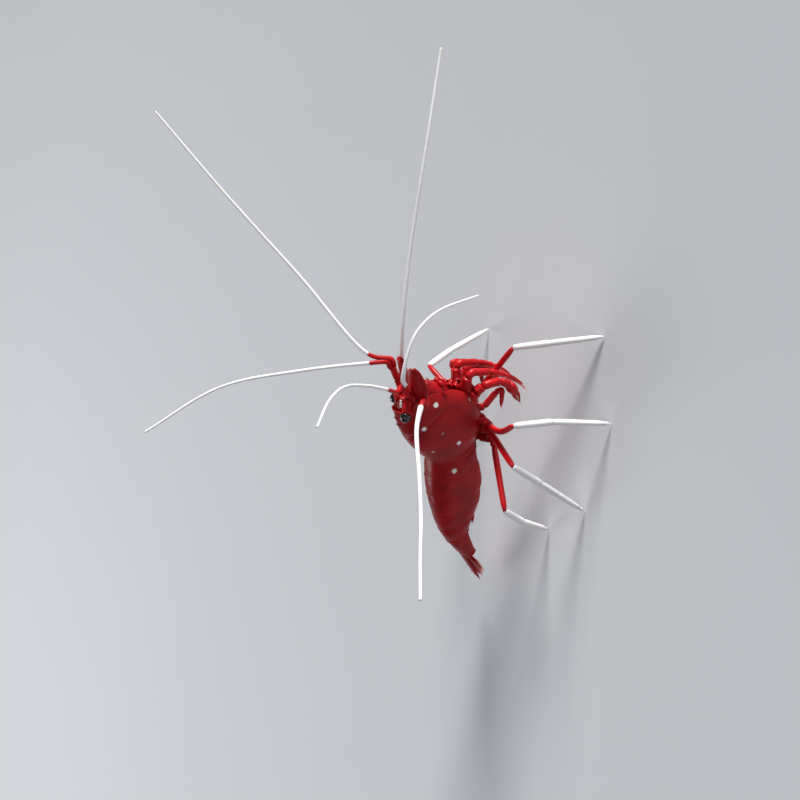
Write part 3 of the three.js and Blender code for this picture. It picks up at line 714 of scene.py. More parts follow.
# Each leaf: distance from the midline and drop at its root, then at its tip, its lean and length.
TAIL_LEAVES = {"inner": (1.05, 0.62, 0.62, 0.72, 14, 5.3), "outer": (1.2, 0.95, 0.78, 1.0, 22, 4.7)}
TAIL_LEAF_HALF_WIDTH = 0.78
TELSON_STEPS = 24
# The telson's spines on the right side. On its back: how far along and out. At its end: how
# far out, and how long.
BACK_SPINES = ((3.1, 0.5), (4.8, 0.38))
END_SPINES = ((0.16, 0.5), (0.28, 0.3))


def tail_point(back, down, out):
    """A place measured back from the last ring's end, down from it, and out to the right."""
    place = TAIL_START + back * TAIL_ALONG + down * TAIL_DOWN
    place.x = -out
    return place


def add_spine(shape, root, reach, radii, up):
    """A short sharp spine from a root."""
    grow_tube(shape, evenly([root, root + reach], len(radii) - 1), radii, 8, up)


telson = new_shape()
telson_ends = [tail_point(back, TELSON_DOWN, 0) for back in (-0.3, TELSON_LENGTH)]
telson_line = evenly(telson_ends, TELSON_STEPS)
telson_shares = [k / TELSON_STEPS for k in range(TELSON_STEPS + 1)]
telson_sizes = [(eased(TELSON_WIDTHS, share), eased(TELSON_HEIGHTS, share)) for share in telson_shares]
grow_tube(telson, telson_line, telson_sizes, 28, -TAIL_DOWN)
for side_sign in SIDES.values():
    for back, out in BACK_SPINES:
        root = tail_point(back, TELSON_DOWN - 0.32, out * side_sign)
        reach = 0.35 * TAIL_ALONG - 0.12 * TAIL_DOWN
        add_spine(telson, root, reach, [0.09, 0.08, 0.06, 0.04, 0.015], RIGHTWARD)
    for out, length in END_SPINES:
        root = tail_point(TELSON_LENGTH - 0.25, TELSON_DOWN, out * side_sign)
        reach = length * TAIL_ALONG + 0.1 * side_sign * RIGHTWARD
        add_spine(telson, root, reach, [0.07, 0.06, 0.045, 0.03, 0.012], -TAIL_DOWN)
add_piece("telson", telson, SHELL_RED, ["telson"])

for side_name, side_sign in SIDES.items():
    for place, (root_out, root_down, tip_out, tip_down, lean, length) in TAIL_LEAVES.items():
        turn = math.radians(lean)
        width = Vector((-math.cos(turn) * side_sign, 0, 0)) + math.sin(turn) * TAIL_DOWN
        leaf_root = tail_point(-0.2, root_down, root_out * side_sign)
        leaf_tip = tail_point(length, tip_down, tip_out * side_sign)
        leaf = Leaf(leaf_root, leaf_tip, width, TAIL_LEAF_HALF_WIDTH, TAIL_LEAF_OUTLINE,
                    arch=0.08, rib=0.07, wall=0.16)
        name = f"tail_blade_{place}_{side_name}"
        add_leaf(name, leaf, [name])
print("tail fan: telson and", len(leaves), "leaves")

# %% [markdown]
# ## The skin under the plates
# Between the legs and under the tail the animal is soft. That flesh is one skin, so no seam
# shows: rough tubes for the thorax, the breast ridge, the leg sockets and the tail are joined
# by a voxel remesh, which melts them together as clay would be, and then smoothed.

# %% The belly skin
# Rows of the thorax, breast and forehead: ahead, above, half width and half height.
STERNUM_ROWS = [
    (-2.6, -10.2, 0.7, 0.3), (-1.6, -10.35, 1.3, 0.45), (2.8, -10.6, 1.35, 0.65),
    (5, -10.95, 1.35, 1), (7, -11.15, 1.3, 1.2), (8.9, -11, 1.1, 1),
]
THORAX_ROWS = [
    (-1.6, -5.2, 2.4, 3.7), (0.5, -5.3, 2.8, 4.1), (4, -5.4, 3.3, 4.4), (8, -5.1, 3.3, 4.8),
    (10, -5, 3.2, 4.7), (11.3, -4.7, 3, 4.1), (12.4, -4.4, 2.6, 3.3), (13.2, -4.1, 2, 2.5),
    (13.8, -3.9, 1.3, 1.6),
]
FOREHEAD_ROWS = [
    (11, -0.3, 1.8, 1.3), (12.3, -0.1, 1.8, 1.25), (13.3, -0.3, 1.55, 1.15), (14.3, -0.9, 1.1, 0.9),
]
# The flesh that carries the eyes and the feelers, on each side: ahead, above, out and radius.
BROW_ROWS = [(11.6, -1.9, 1.2, 1), (12.8, -1.9, 1.4, 1.05), (13.7, -2, 1.3, 0.95), (14.4, -1.9, 1.2, 0.7)]
# A leg's socket: how far above the leg's root, how far out, and its radius.
SOCKET_ROWS = [(0.7, 0.5, 1), (0.2, 1.5, 1), (0, 2.2, 0.95), (-0.05, 2.6, 0.75)]
LEG_ROOTS = [(2.8, -10.55), (0.6, -10.55), (-1.6, -10.55), (5, -10.6), (7, -10.6), (9.3, -10.9)]
BELLY_VOXEL = 0.2
PLATE_GAP = 0.6
TAIL_FLESH_SHARE = 0.88


def body_tube(shape, rows, sides, steps):
    """A tube along the animal's middle, through rows of its place and its size."""
    line = smooth_path([on_body(ahead, above, 0) for ahead, above, *_ in rows], steps)
    shares = [k / steps for k in range(steps + 1)]
    wides, highs = [row[2] for row in rows], [row[3] for row in rows]
    sizes = [(eased(wides, share), eased(highs, share)) for share in shares]
    grow_tube(shape, line, sizes, sides, ABOVE)


belly = new_shape()
body_tube(belly, THORAX_ROWS, 40, 24)
body_tube(belly, STERNUM_ROWS, 20, 20)
body_tube(belly, FOREHEAD_ROWS, 20, 8)
for ahead, above in LEG_ROOTS:
    for side_sign in SIDES.values():
        socket = [on_body(ahead, above + lift, out * side_sign) for lift, out, _ in SOCKET_ROWS]
        grow_tube(belly, socket, [radius for *_, radius in SOCKET_ROWS], 14, AHEAD)
for side_sign in SIDES.values():
    brow = path_on_side([row[:3] for row in BROW_ROWS], side_sign)
    grow_tube(belly, brow, [radius for *_, radius in BROW_ROWS], 16, ABOVE)
tail_line, tail_sizes = [on_body(2, -5.2, 0)], [(2.4, 3.4)]
joints = zip(joint_tops, joint_downs, JOINT_DEPTHS, JOINT_HALF_WIDTHS, UNDERSIDE_HOLLOWS)
for top, down, depth, half, hollow in joints:
    shown = depth - hollow - PLATE_GAP
    tail_line.append(top + down * (0.35 + shown / 2))
    tail_sizes.append((half * TAIL_FLESH_SHARE, shown / 2))
grow_tube(belly, tail_line, tail_sizes, 32, ABOVE)
for i in range(1, 6):
    # A firm bar under each ring, which curves up to the plate's lobes.
    low = joint_tops[i] + joint_downs[i] * (JOINT_DEPTHS[i] - UNDERSIDE_HOLLOWS[i] - 0.3)
    step_out = -RIGHTWARD * JOINT_HALF_WIDTHS[i] * 0.8 / 3
    bar = [low + step_out * k - joint_downs[i] * 0.12 * abs(k) for k in range(-3, 4)]
    grow_tube(belly, bar, [(0.22, 0.3)] * 7, 12, joint_backs[i])
belly_skin = add_piece("belly_skin", belly, BELLY_RED, ["thorax_underside", "head_front"])
melt = belly_skin.modifiers.new("melt", "REMESH")
melt.mode = "VOXEL"
melt.voxel_size = BELLY_VOXEL * MM
melt.use_smooth_shade = True
calm = belly_skin.modifiers.new("calm", "SMOOTH")
calm.iterations = 4
# The melted skin is made final here, so nothing later has to melt it again.
settled = belly_skin.evaluated_get(bpy.context.evaluated_depsgraph_get())
skin_mesh = bpy.data.meshes.new_from_object(settled)
belly_skin.modifiers.clear()
belly_skin.data = skin_mesh
print("belly skin:", len(skin_mesh.polygons), "faces")

# %% [markdown]
# ## Limbs
# A shrimp's limb is a row of hard articles. Each is a tube, narrow where it enters the last
# one, and a little swollen at its far joint. So a limb is its path, a radius at each point and
# the points where its joints are, and one function makes every article of every limb.

# %% One article of a limb
ARTICLE_FORM = [0.7, 0.88, 0.97, 1, 1, 1, 1, 1, 1, 1, 1.01, 1.04, 1.05, 0.97, 0.7]
SLIM_FORM = [0.8, 0.93, 0.98, 1, 1, 1, 1, 1, 1, 1, 1.01, 1.03, 1.04, 0.98, 0.8]
ARTICLE_STEPS = 24


def article(shape, path, radii, sides=18, up=RIGHTWARD, redness=(1, 1), form=ARTICLE_FORM):
    """One hard segment along a path, with its joint's form at each end."""
    line = smooth_path(path, ARTICLE_STEPS)
    shares = [k / ARTICLE_STEPS for k in range(ARTICLE_STEPS + 1)]
    sizes = [eased(radii, share) * eased(form, share) for share in shares]
    red = [redness[0] + (redness[1] - redness[0]) * share for share in shares]
    grow_tube(shape, line, sizes, sides, up, red)


def jointed(shape, path, radii, joints, **how):
    """The articles between a path's joints, which are given by their places in the path."""
    for first, last in zip(joints, joints[1:]):
        article(shape, path[first:last + 1], radii[first:last + 1], **how)


def part_way(a, b, share):
    return Vector(a).lerp(Vector(b), share)


# %% [markdown]
# ## Walking legs
# Three pairs of legs carry the animal. From the body outwards each has a short hip, a long red
# thigh up to the knee, a white shin, a longer white foot and a small claw that stands on the
# floor. The places of knee, ankle and tip are the frame's own.

# %% The six walking legs
# Each leg: its root's place along the body, its hip on the body, and its knee, ankle and tip.
WALKING_LEGS = {
    "1_right": ((2.8, (1.9, -11, 3.2)), (-14, -7.5, 15.4), (-15.7, -9, 9.2), (-18.8, -10.1, 0)),
    "2_right": ((0.6, (0.7, -10.8, 2.9)), (-14.8, -0.7, 13.9), (-16, 1.9, 8.4), (-18.5, 5.9, 0)),
    "3_right": ((-1.6, (-1.9, -10.7, 2.9)), (-13, 8.3, 11.7), (-12.4, 10.8, 6.9), (-11, 13.2, 0)),
    "1_left": ((2.8, (3.6, -12.1, -2.3)), (-1.5, -15.6, 9.8), (-5.6, -18.3, 5.6), (-11.3, -22, 0)),
    "2_left": ((0.6, (0.8, -10.8, -2.9)), (14.2, -5.3, 14.1), (16.6, -7.3, 8.6), (19.3, -10.2, 0)),
    "3_left": ((-1.6, (-1.9, -10.7, -2.9)), (12.6, 6.8, 12.3), (14.2, 8.7, 6.8), (15, 11, 0)),
}
THIGH_BOWS = {"1_right": Vector((0, 1.2, -0.2))}
COXA_RADII = [0.85, 0.85, 0.74]
HIP_RADII = [0.66, 0.64, 0.54]
THIGH_RADII = [0.52, 0.54, 0.5, 0.46]
SHIN_RADII = [0.54, 0.57, 0.57]
FOOT_RADII = [0.55, 0.5, 0.42]
CLAW_RADII = [0.31, 0.27, 0.16]
COXA_DEPTH = -10.55
COXA_OUT = 2.05
CLAW_LENGTH = 1.3
CLAW_FORM = [0.7, 0.95, 1, 0.95, 0.85, 0.72, 0.6, 0.5, 0.42]
leg_lines = {}
for leg, ((root, hip_place), knee, ankle, tip) in WALKING_LEGS.items():
    side_sign = SIDES[leg.split("_")[1]]
    knee, ankle, tip = Vector(knee), Vector(ankle), Vector(tip)
    coxa, hip = on_body(root, COXA_DEPTH, COXA_OUT * side_sign), on_body(*hip_place)
    inner = on_body(root, COXA_DEPTH + 0.25, (COXA_OUT - 0.9) * side_sign)
    bow = THIGH_BOWS.get(leg, Vector())
    thigh = [part_way(hip, knee, share) + bow * math.sin(math.pi * share) for share in (0.3, 0.6)]
    name = f"walking_leg_{leg}_upper"
    upper = new_shape()
    article(upper, [inner, coxa, part_way(coxa, hip, 0.45)], COXA_RADII)
    article(upper, [part_way(coxa, hip, 0.25), hip, part_way(hip, thigh[0], 0.3)], HIP_RADII)
    article(upper, [part_way(hip, thigh[0], 0.2), *thigh, knee], THIGH_RADII, redness=(1, 0.92))
    add_piece(name, upper, LIMB, [name])

    heel = part_way(tip, ankle, CLAW_LENGTH / (ankle - tip).length)
    start = knee + (ankle - knee).normalized() * 0.05
    shin = [start, part_way(start, ankle, 0.5), ankle]
    foot = [part_way(ankle, knee, 0.04), part_way(ankle, heel, 0.5), heel]
    claw = [heel, part_way(heel, tip, 0.55) + AHEAD * 0.06, tip + Vector((0, 0, CLAW_RADII[-1]))]
    name = f"walking_leg_{leg}_lower"
    lower = new_shape()
    article(lower, shin, SHIN_RADII, redness=(0.3, 0), form=SLIM_FORM)
    article(lower, foot, FOOT_RADII, redness=(0, 0), form=SLIM_FORM)
    article(lower, claw, CLAW_RADII, redness=(0, 0), form=CLAW_FORM)
    add_piece(name, lower, LIMB, [name])
    leg_lines[leg] = {"thigh": [hip, *thigh, knee], "foot": [ankle, heel]}
print("walking legs:", len(leg_lines), "with", made[name], "faces below each knee")

# %% [markdown]
# ## Folded limbs under the mouth
# Ahead of the walking legs hang three pairs that feed and clean: the third jaw-feet with their
# brushes, the first legs with small strong pincers, and the second legs, whose wrist is a chain
# of tiny rings that lets them reach anywhere. All are folded back under the head.

# %% The folded limbs' places
# Each row of a limb: ahead, above, out and radius.
JAW_FOOT = [
    (9.3, -10.6, 1.5, 1), (11.3, -11.4, 1.9, 0.75), (11.5, -12.5, 1.9, 0.66), (10.7, -13.7, 1.9, 0.62),
    (9.6, -15.3, 1.9, 0.58), (7.3, -17.4, 1.9, 0.5), (5.2, -18.7, 1.9, 0.42), (3.5, -19.5, 1.9, 0.26),
]
PINCER_LEG = [
    (7, -10.4, 1.75, 1), (8.5, -11.5, 2.7, 0.92), (8.9, -12.8, 3.1, 0.76), (8.6, -14.2, 3.3, 0.72),
    (7.8, -15.9, 3.3, 0.72), (6.3, -16.9, 3.3, 0.9), (4.3, -17.4, 3.3, 0.78), (1.8, -17.5, 3.3, 0.2),
]
WRIST_RADII = [0.66, 0.76]
PALM_RADII = [0.8, 0.93, 0.72]
SLENDER_LEGS = {
    "right": [
        (5, -10.6, 1.75, 0.62), (4.4, -11.9, 2.1, 0.58), (5.5, -14.8, 2.1, 0.52), (5.2, -15.8, 2.1, 0.46),
        (3.8, -15.3, 2.1, 0.4), (2.3, -14.5, 2.1, 0.22),
    ],
    "left": [
        (5, -10.6, -1.75, 0.6), (8, -12, -4.1, 0.52), (10.5, -11.8, -4.5, 0.48), (10.3, -12.7, -4.6, 0.44),
        (8.4, -14.2, -4.6, 0.42), (5, -15.6, -4.3, 0.36), (3, -15.2, -4.1, 0.22),
    ],
}
print("places on the folded limbs:", len(JAW_FOOT), len(PINCER_LEG), len(SLENDER_LEGS["right"]))

# %% Fingers and ringed wrists
FINGER_FORM = [0.9, 1, 1, 0.96, 0.9, 0.8, 0.68, 0.5, 0.25]
WRIST_RINGS = 14
WRIST_RING_STEPS = 6


def placed(rows, side_sign=1):
    """A limb's rows as its path on one side and its radii."""
    return path_on_side([row[:3] for row in rows], side_sign), [row[3] for row in rows]


def pincers(shape, root, tip, radius, spread):
    """Two curved fingers that part a little and meet at the tips."""
    heading = (tip - root).normalized()
    aside = heading.cross(RIGHTWARD).normalized()
    for side_sign in SIDES.values():
        bowed = part_way(root, tip, 0.5) + aside * spread * side_sign
        finger = [root + aside * spread * 0.7 * side_sign, bowed, tip + aside * 0.03 * side_sign]
        article(shape, finger, [radius, radius * 0.8, radius * 0.45], 14, form=FINGER_FORM)


def ringed_wrist(shape, path, radii):
    """A chain of small rings, each a swelling on one continuous tube."""
    steps = WRIST_RINGS * WRIST_RING_STEPS
    sizes = []
    for k in range(steps + 1):
        swelling = math.sin(math.pi * (k % WRIST_RING_STEPS) / WRIST_RING_STEPS)
        sizes.append(eased(radii, k / steps) * (0.92 + 0.1 * swelling))
    grow_tube(shape, smooth_path(path, steps), sizes, 14, RIGHTWARD)


# %% Jaw-feet, pincer legs and slender legs
folded_lines = {}
for side_name, side_sign in SIDES.items():
    name = f"maxilliped_{side_name}"
    path, radii = placed(JAW_FOOT, side_sign)
    jaw_foot = new_shape()
    jointed(jaw_foot, path, radii, [0, 1, 4, 5, 7])
    add_piece(name, jaw_foot, LIMB, [name])
    folded_lines[name] = path[4:]

    name = f"claw_leg_{side_name}"
    path, radii = placed(PINCER_LEG, side_sign)
    pincer_leg = new_shape()
    jointed(pincer_leg, path[:6], radii[:6], [0, 1, 2, 4])
    article(pincer_leg, path[4:6], WRIST_RADII)
    article(pincer_leg, [path[5], part_way(path[5], path[6], 0.5), path[6]], PALM_RADII)
    pincers(pincer_leg, part_way(path[6], path[5], 0.2), path[7], radius=0.4, spread=0.34)
    add_piece(name, pincer_leg, LIMB, [name])
    folded_lines[name] = path[3:]

    name = f"slender_leg_{side_name}"
    path, radii = placed(SLENDER_LEGS[side_name])
    slender_leg = new_shape()
    jointed(slender_leg, path, radii, [0, 1, 2])
    ringed_wrist(slender_leg, path[2:-1], radii[2:-1])
    pincers(slender_leg, path[-2], path[-1], radius=0.24, spread=0.17)
    add_piece(name, slender_leg, LIMB, [name])
    folded_lines[name] = path[1:]
print("folded limbs:", len(folded_lines))

# %% [markdown]
# ## The mouth
# Between the jaw-feet and the feelers lie several pairs of small leaf-shaped jaws, one behind
# the other. From outside only their edges show, so each is one arched leaf.

# %% The mouth's leaves and the two biting jaws
# Each leaf: how far ahead and above it lies, and how far out it reaches.
MOUTH_LEAVES = [(9.6, -10, 1.2), (10.4, -9.3, 1.2), (11.2, -8.5, 1.1)]
MOUTH_LEAF_FORM = [0.7, 0.9, 1, 1, 1, 0.95, 0.85, 0.7, 0.35]
MOUTH_LEAF_SIZE = (0.34, 0.14)
BITING_JAW = [(12, -7.4, 1.1), (12.5, -7.3, 0.7), (12.6, -7.2, 0.12)]
leaf_sizes = [(MOUTH_LEAF_SIZE[0] * share, MOUTH_LEAF_SIZE[1] * share) for share in MOUTH_LEAF_FORM]
mouth = new_shape()
for side_sign in SIDES.values():
    for ahead, above, reach in MOUTH_LEAVES:
        arched = [
            (ahead - 0.1, above + 0.5, 0.15), (ahead + 0.3, above, 0.6), (ahead + 0.25, above - 0.1, reach),
        ]
        flap = smooth_path(path_on_side(arched, side_sign), len(leaf_sizes) - 1)
        grow_tube(mouth, flap, leaf_sizes, 16, AHEAD)
    article(mouth, path_on_side(BITING_JAW, side_sign), [0.4, 0.42, 0.26], 16)
add_piece("mouthparts", mouth, LIMB, ["mouthparts"])
print("mouth:", made["mouthparts"], "faces")

# %% [markdown]
# ## Eyes
# Each eye is a dark glossy ball in the cup of a short stalk. The ball is a sphere, a little
# longer than wide, with tiny lenses in its finish. The stalk is nearly as wide as the ball and
# reaches past the ball's rear, so the eye sits in it and isn't stuck on.

# %% The eyes and their stalks
EYE_RADIUS = 0.9
EYE_LENGTH_SHARE = 1.06
CUP_DEPTH_SHARE = 0.35
STALK_ROOT = (13.4, -1, 1.1)
STALK_STEPS = 24
STALK_RADII = [0.8, 0.82, 0.82, 0.81, 0.81, 0.82, 0.84, 0.85, 0.8]
for side_name, side_sign in SIDES.items():
    eye_middle = on_body(*EYE_PLACES[side_name])
    stalk_root = on_side(STALK_ROOT, side_sign)
    heading = (eye_middle - stalk_root).normalized()
    turn = heading.to_track_quat("Z", "Y").to_matrix().to_4x4()
    place = Matrix.Translation(eye_middle) @ turn @ Matrix.Diagonal((1, 1, EYE_LENGTH_SHARE, 1))
    ball = new_shape()
    bmesh.ops.create_uvsphere(ball, u_segments=48, v_segments=32, radius=EYE_RADIUS, matrix=place)
    add_piece(f"eye_{side_name}", ball, EYE_BLACK, [f"eye_{side_name}"])
    stalk = new_shape()
    neck_line = evenly([stalk_root, eye_middle - heading * EYE_RADIUS * CUP_DEPTH_SHARE], STALK_STEPS)
    neck_radii = [eased(STALK_RADII, k / STALK_STEPS) for k in range(STALK_STEPS + 1)]
    grow_tube(stalk, neck_line, neck_radii, 24)
    add_piece(f"eyestalk_{side_name}", stalk, LIMB, [f"eyestalk_{side_name}"])
print("eyes at", [[round(value, 1) for value in on_body(*place)] for place in EYE_PLACES.values()])

# %% [markdown]
# ## Feeler stalks and scales
# The first feelers branch from a three-jointed stalk beside the beak. The second feelers come
# from a short stalk below and outside it, which also carries a broad scale, the animal's
# rudder. The scale's outer edge is stiff and ends in a spine, its inner edge wears bristles.

# %% Stalks, side spines and scales
# Places on the right side: ahead, above and out. Only the antennule's tip differs by side.
ANTENNULE_TIPS = {"right": (17.1, -1, 2.2), "left": (19.2, -1.8, -1.5)}
ANTENNULE_ROOT = [(13.2, -1.7, 0.85), (14.9, -1.5, 1.2)]
ANTENNULE_BEND = (15.2, -1.5, 1.25)
ANTENNULE_RADII = [0.58, 0.6, 0.56, 0.54]
SIDE_SPINE = [(13.6, -1.8, 1.5), (14.6, -1.9, 1.95), (15.3, -1.9, 1.95)]
SIDE_SPINE_SIZES = [
    (0.34, 0.14), (0.36, 0.15), (0.34, 0.14), (0.28, 0.12), (0.2, 0.1), (0.1, 0.06), (0.03, 0.03),
]
ANTENNA_BASE = [(13.4, -3.6, 1.4), (12.9, -3.2, 2.7), (12.5, -2.85, 3.4)]
ANTENNA_BASE_RADII = [0.8, 0.74, 0.62]
ANTENNA_ELBOW = [(12.35, -2.8, 3.4), (12.75, -2.65, 3.6), (13.25, -2.6, 3.6)]
ANTENNA_ELBOW_RADII = [0.56, 0.6, 0.54]
SCALE_ROOT = (13.3, -3, 2.5)
SCALE_TIP = (19.3, -3.7, 2)
SCALE_HALF_WIDTH = 1.4
SCALE_OUTLINE = [0.5, 0.8, 0.97, 1, 1, 0.97, 0.92, 0.82, 0.66, 0.25]
SCALE_LEAN = math.radians(-45)
for side_name, side_sign in SIDES.items():
    name = f"antennule_stalk_{side_name}"
    stalk_tip = on_body(*ANTENNULE_TIPS[side_name])
    bend = part_way(on_side(ANTENNULE_BEND, side_sign), stalk_tip, 0.35)
    path = [*path_on_side(ANTENNULE_ROOT, side_sign), bend, stalk_tip]
    stalk = new_shape()
    jointed(stalk, path, ANTENNULE_RADII, [0, 1, 2, 3], up=ABOVE)
    side_spine = smooth_path(path_on_side(SIDE_SPINE, side_sign), len(SIDE_SPINE_SIZES) - 1)
    grow_tube(stalk, side_spine, SIDE_SPINE_SIZES, 12)
    add_piece(name, stalk, LIMB, [name])

    name = f"antenna_stalk_{side_name}"
    base = new_shape()
    article(base, path_on_side(ANTENNA_BASE, side_sign), ANTENNA_BASE_RADII, 20, ABOVE)
    article(base, path_on_side(ANTENNA_ELBOW, side_sign), ANTENNA_ELBOW_RADII, 20, ABOVE)
    add_piece(name, base, LIMB, [name])

    name = f"antenna_scale_{side_name}"
    width = math.cos(SCALE_LEAN) * side_sign * RIGHTWARD + math.sin(SCALE_LEAN) * ABOVE
    root, tip = path_on_side([SCALE_ROOT, SCALE_TIP], side_sign)
    scale = Leaf(root, tip, width, SCALE_HALF_WIDTH, SCALE_OUTLINE,
                 arch=-0.45 * side_sign, rib=-0.04 * side_sign, wall=0.3)
    add_leaf(name, scale, [name])
print("feeler stalks and scales:", sum(1 for name in made if name.startswith("antenn")))

# %% [markdown]
# ## Feelers
# The long feelers are threads of several hundred rings. Here each thread is one extruded tube
# that swells a little in every ring, thins towards its tip and turns from red to white at its
# own place, which the point's redness records.

# %% The six long feelers
RING_LENGTH = 0.42
RING_FORM = [0.93, 1.03, 1.06, 1.02]
# Each feeler: its stalk's end, how far above or below it starts, how far it runs ahead at
# first, its root's radius, how many millimetres of it are red, and its route.
FEELERS = {
    "antennule_outer_left": (
        ANTENNULE_TIPS["left"], -0.4, 0.9, 0.32, 5,
        [(3, -12.1, 33.9), (13.6, -20.9, 43.2), (24.7, -30.1, 53.2), (35.5, -39.4, 62.6)],
    ),
    "antennule_inner_left": (
        ANTENNULE_TIPS["left"], 0.4, 0.9, 0.32, 4,
        [(2.3, -10.9, 33.8), (7.1, -7.3, 43.1), (12.1, -2.1, 53.9), (14.8, 7, 64)],
    ),
    "antennule_inner_right": (
        ANTENNULE_TIPS["right"], 0.4, 0.3, 0.3, 5.2,
        [(-3.4, -8.5, 31.2), (-4.6, -9.5, 34.2), (-5.8, -10.6, 38.4),
         (-9, -11.9, 44.6), (-13.4, -11.8, 49.5), (-19.7, -10.4, 54.6)],
    ),
    "antennule_outer_right": (
        ANTENNULE_TIPS["right"], -0.4, 0.9, 0.3, 0.2,
        [(-2.2, -11.4, 30.1), (-1.8, -14.5, 29.9), (-1.2, -17.4, 29),
         (-0.4, -19.3, 27.2), (0.8, -20.9, 24.1), (3, -22.7, 16)],
    ),
    "antenna_left": (
        (13.1, -2.6, -3.6), 0, 0.9, 0.36, 2.5,
        [(3.9, -10.5, 26.9), (4.6, -17.5, 28), (6.8, -27.8, 28.2),
         (10.7, -43.9, 27.3), (16.4, -59.1, 25.2)],
    ),
    "antenna_right": (
        (13.1, -2.6, 3.6), 0, 0.4, 0.38, 2.2,
        [(-8.3, -4.8, 29.4), (-18.4, -1.5, 33.9), (-27.3, 1.3, 38),
         (-34.9, 3.7, 41.9), (-41.7, 6.3, 45.1)],
    ),
}
FEELER_TIP_SHARE = 0.62
FEELER_ROOT_SWELL = 0.35
FEELER_ROOT_REACH = 7
# No feeler runs near this direction, so it can set every ring's turn without a twist.
FEELER_UP = Vector((0.83, 0.55, 0.03))
for name, ((ahead, above, out), rise, lead, radius, red_reach, route) in FEELERS.items():
    start = on_body(ahead + 0.3, above + rise, out)
    socket = on_body(ahead - 0.2, above + rise * 0.7, out)
    path = [start, start + AHEAD * lead, *route]
    rough = smooth_path(path, 60)
    length = sum((b - a).length for a, b in zip(rough, rough[1:]))
    rings = int(length / RING_LENGTH)
    line = [socket, *smooth_path(path, rings * len(RING_FORM))]
    shares = [k / (len(line) - 1) for k in range(len(line))]
    sizes = []
    for k, share in enumerate(shares):
        swell = FEELER_ROOT_SWELL * soft_step(FEELER_ROOT_REACH, 0, share * length)
        taper = (1 - FEELER_TIP_SHARE) * share
        sizes.append(radius * (1 + swell - taper) * RING_FORM[k % len(RING_FORM)])
    redness = [soft_step(red_reach + 0.5, red_reach - 0.5, share * length) for share in shares]
    thread = new_shape()
    grow_tube(thread, line, sizes, 10, FEELER_UP, redness)
    add_piece(name, thread, LIMB, [name])
    print(f"{name}: {length:.0f} mm, {rings} rings")

# %% [markdown]
# ## Swimmerets
# Under each of the first five tail plates hangs a pair of paddles: a short stalk with an outer
# and an inner leaf. At rest they lie folded back against the belly.

# %% The ten paddles
PADDLE_SHARES = (0.12, 0.92)
PADDLE_CLEARANCE = 0.45
SWIMMERET_OUT = 0.95
SWIMMERET_RADII = [0.42, 0.4, 0.34]
PADDLE_HALF_WIDTH = 0.42
# Each pair of leaves: how far out its tip stands, and its share of the reach.
PADDLE_LEAVES = {"outer": (0.24, 1), "inner": (-0.22, 0.86)}
PADDLE_OUTLINE = [0.5, 0.8, 0.95, 1, 1, 0.9, 0.75, 0.5, 0.12]
belly_line = []
for top, down, depth, hollow in zip(joint_tops, joint_downs, JOINT_DEPTHS, UNDERSIDE_HOLLOWS):
    belly_line.append(top + down * (depth - hollow + PADDLE_CLEARANCE))
for i in range(5):
    down, back = joint_downs[i], joint_backs[i]
    gap = belly_line[i + 1] - belly_line[i]
    root = belly_line[i] + gap * PADDLE_SHARES[0] + down * LOBES[i]
    line = gap.normalized()
    reach = gap.length * (PADDLE_SHARES[1] - PADDLE_SHARES[0])
    for side_name, side_sign in SIDES.items():
        out = RIGHTWARD * side_sign
        name = f"swimmeret_{i + 1}_{side_name}"
        start = root + out * SWIMMERET_OUT
        stalk = new_shape()
        bent = [start - down * 1.1 - back * 0.3, start - down * 0.4, start + line * 0.35]
        article(stalk, bent, SWIMMERET_RADII, 14)
        add_piece(f"{name}_stalk", stalk, BELLY_RED, [name])
        for place, (shift, length) in PADDLE_LEAVES.items():
            leaf_root = start + out * shift * 0.5
            leaf_tip = leaf_root + line * reach * length + out * shift
            leaf = Leaf(leaf_root, leaf_tip, out, PADDLE_HALF_WIDTH, PADDLE_OUTLINE,
                        arch=0.06, rib=0.05, wall=0.14)
            add_leaf(f"{name}_{place}", leaf, [name])
print("paddles:", sum(1 for name in leaves if name.startswith("swimmeret")))

# %% [markdown]
# ## Bristles
# Crustaceans have setae where mammals have fur: fringes round the tail fan, scales and paddles,
# brushes on the jaw-feet and pincers, and a few stiff hairs along the feet. Thousands of them
# would be slow to make one by one, so each kind is one array of thin bent cones. Every bristle
# has a small patch of the OFBake map at its root's place, which keeps its own colour in a bake.

# %% A bed of bristles from arrays
BRISTLE_RINGS = 4
BRISTLE_SIDES = 3
BRISTLE_TAPER = 0.82
PATCH = 0.003


def bristle_faces(count):
    """The faces of all the bristles: a closed tube of a few rings for each."""
    faces = []
    for first in range(0, count * BRISTLE_RINGS * BRISTLE_SIDES, BRISTLE_RINGS * BRISTLE_SIDES):
        for base in range(first, first + (BRISTLE_RINGS - 1) * BRISTLE_SIDES, BRISTLE_SIDES):
            over = base + BRISTLE_SIDES
            for k in range(BRISTLE_SIDES):
                after = (k + 1) % BRISTLE_SIDES
                faces.append((base + k, base + after, over + after, over + k))
        last = first + (BRISTLE_RINGS - 1) * BRISTLE_SIDES
        faces.append((last, last + 1, last + 2))
        faces.append((first + 2, first + 1, first))
    return faces


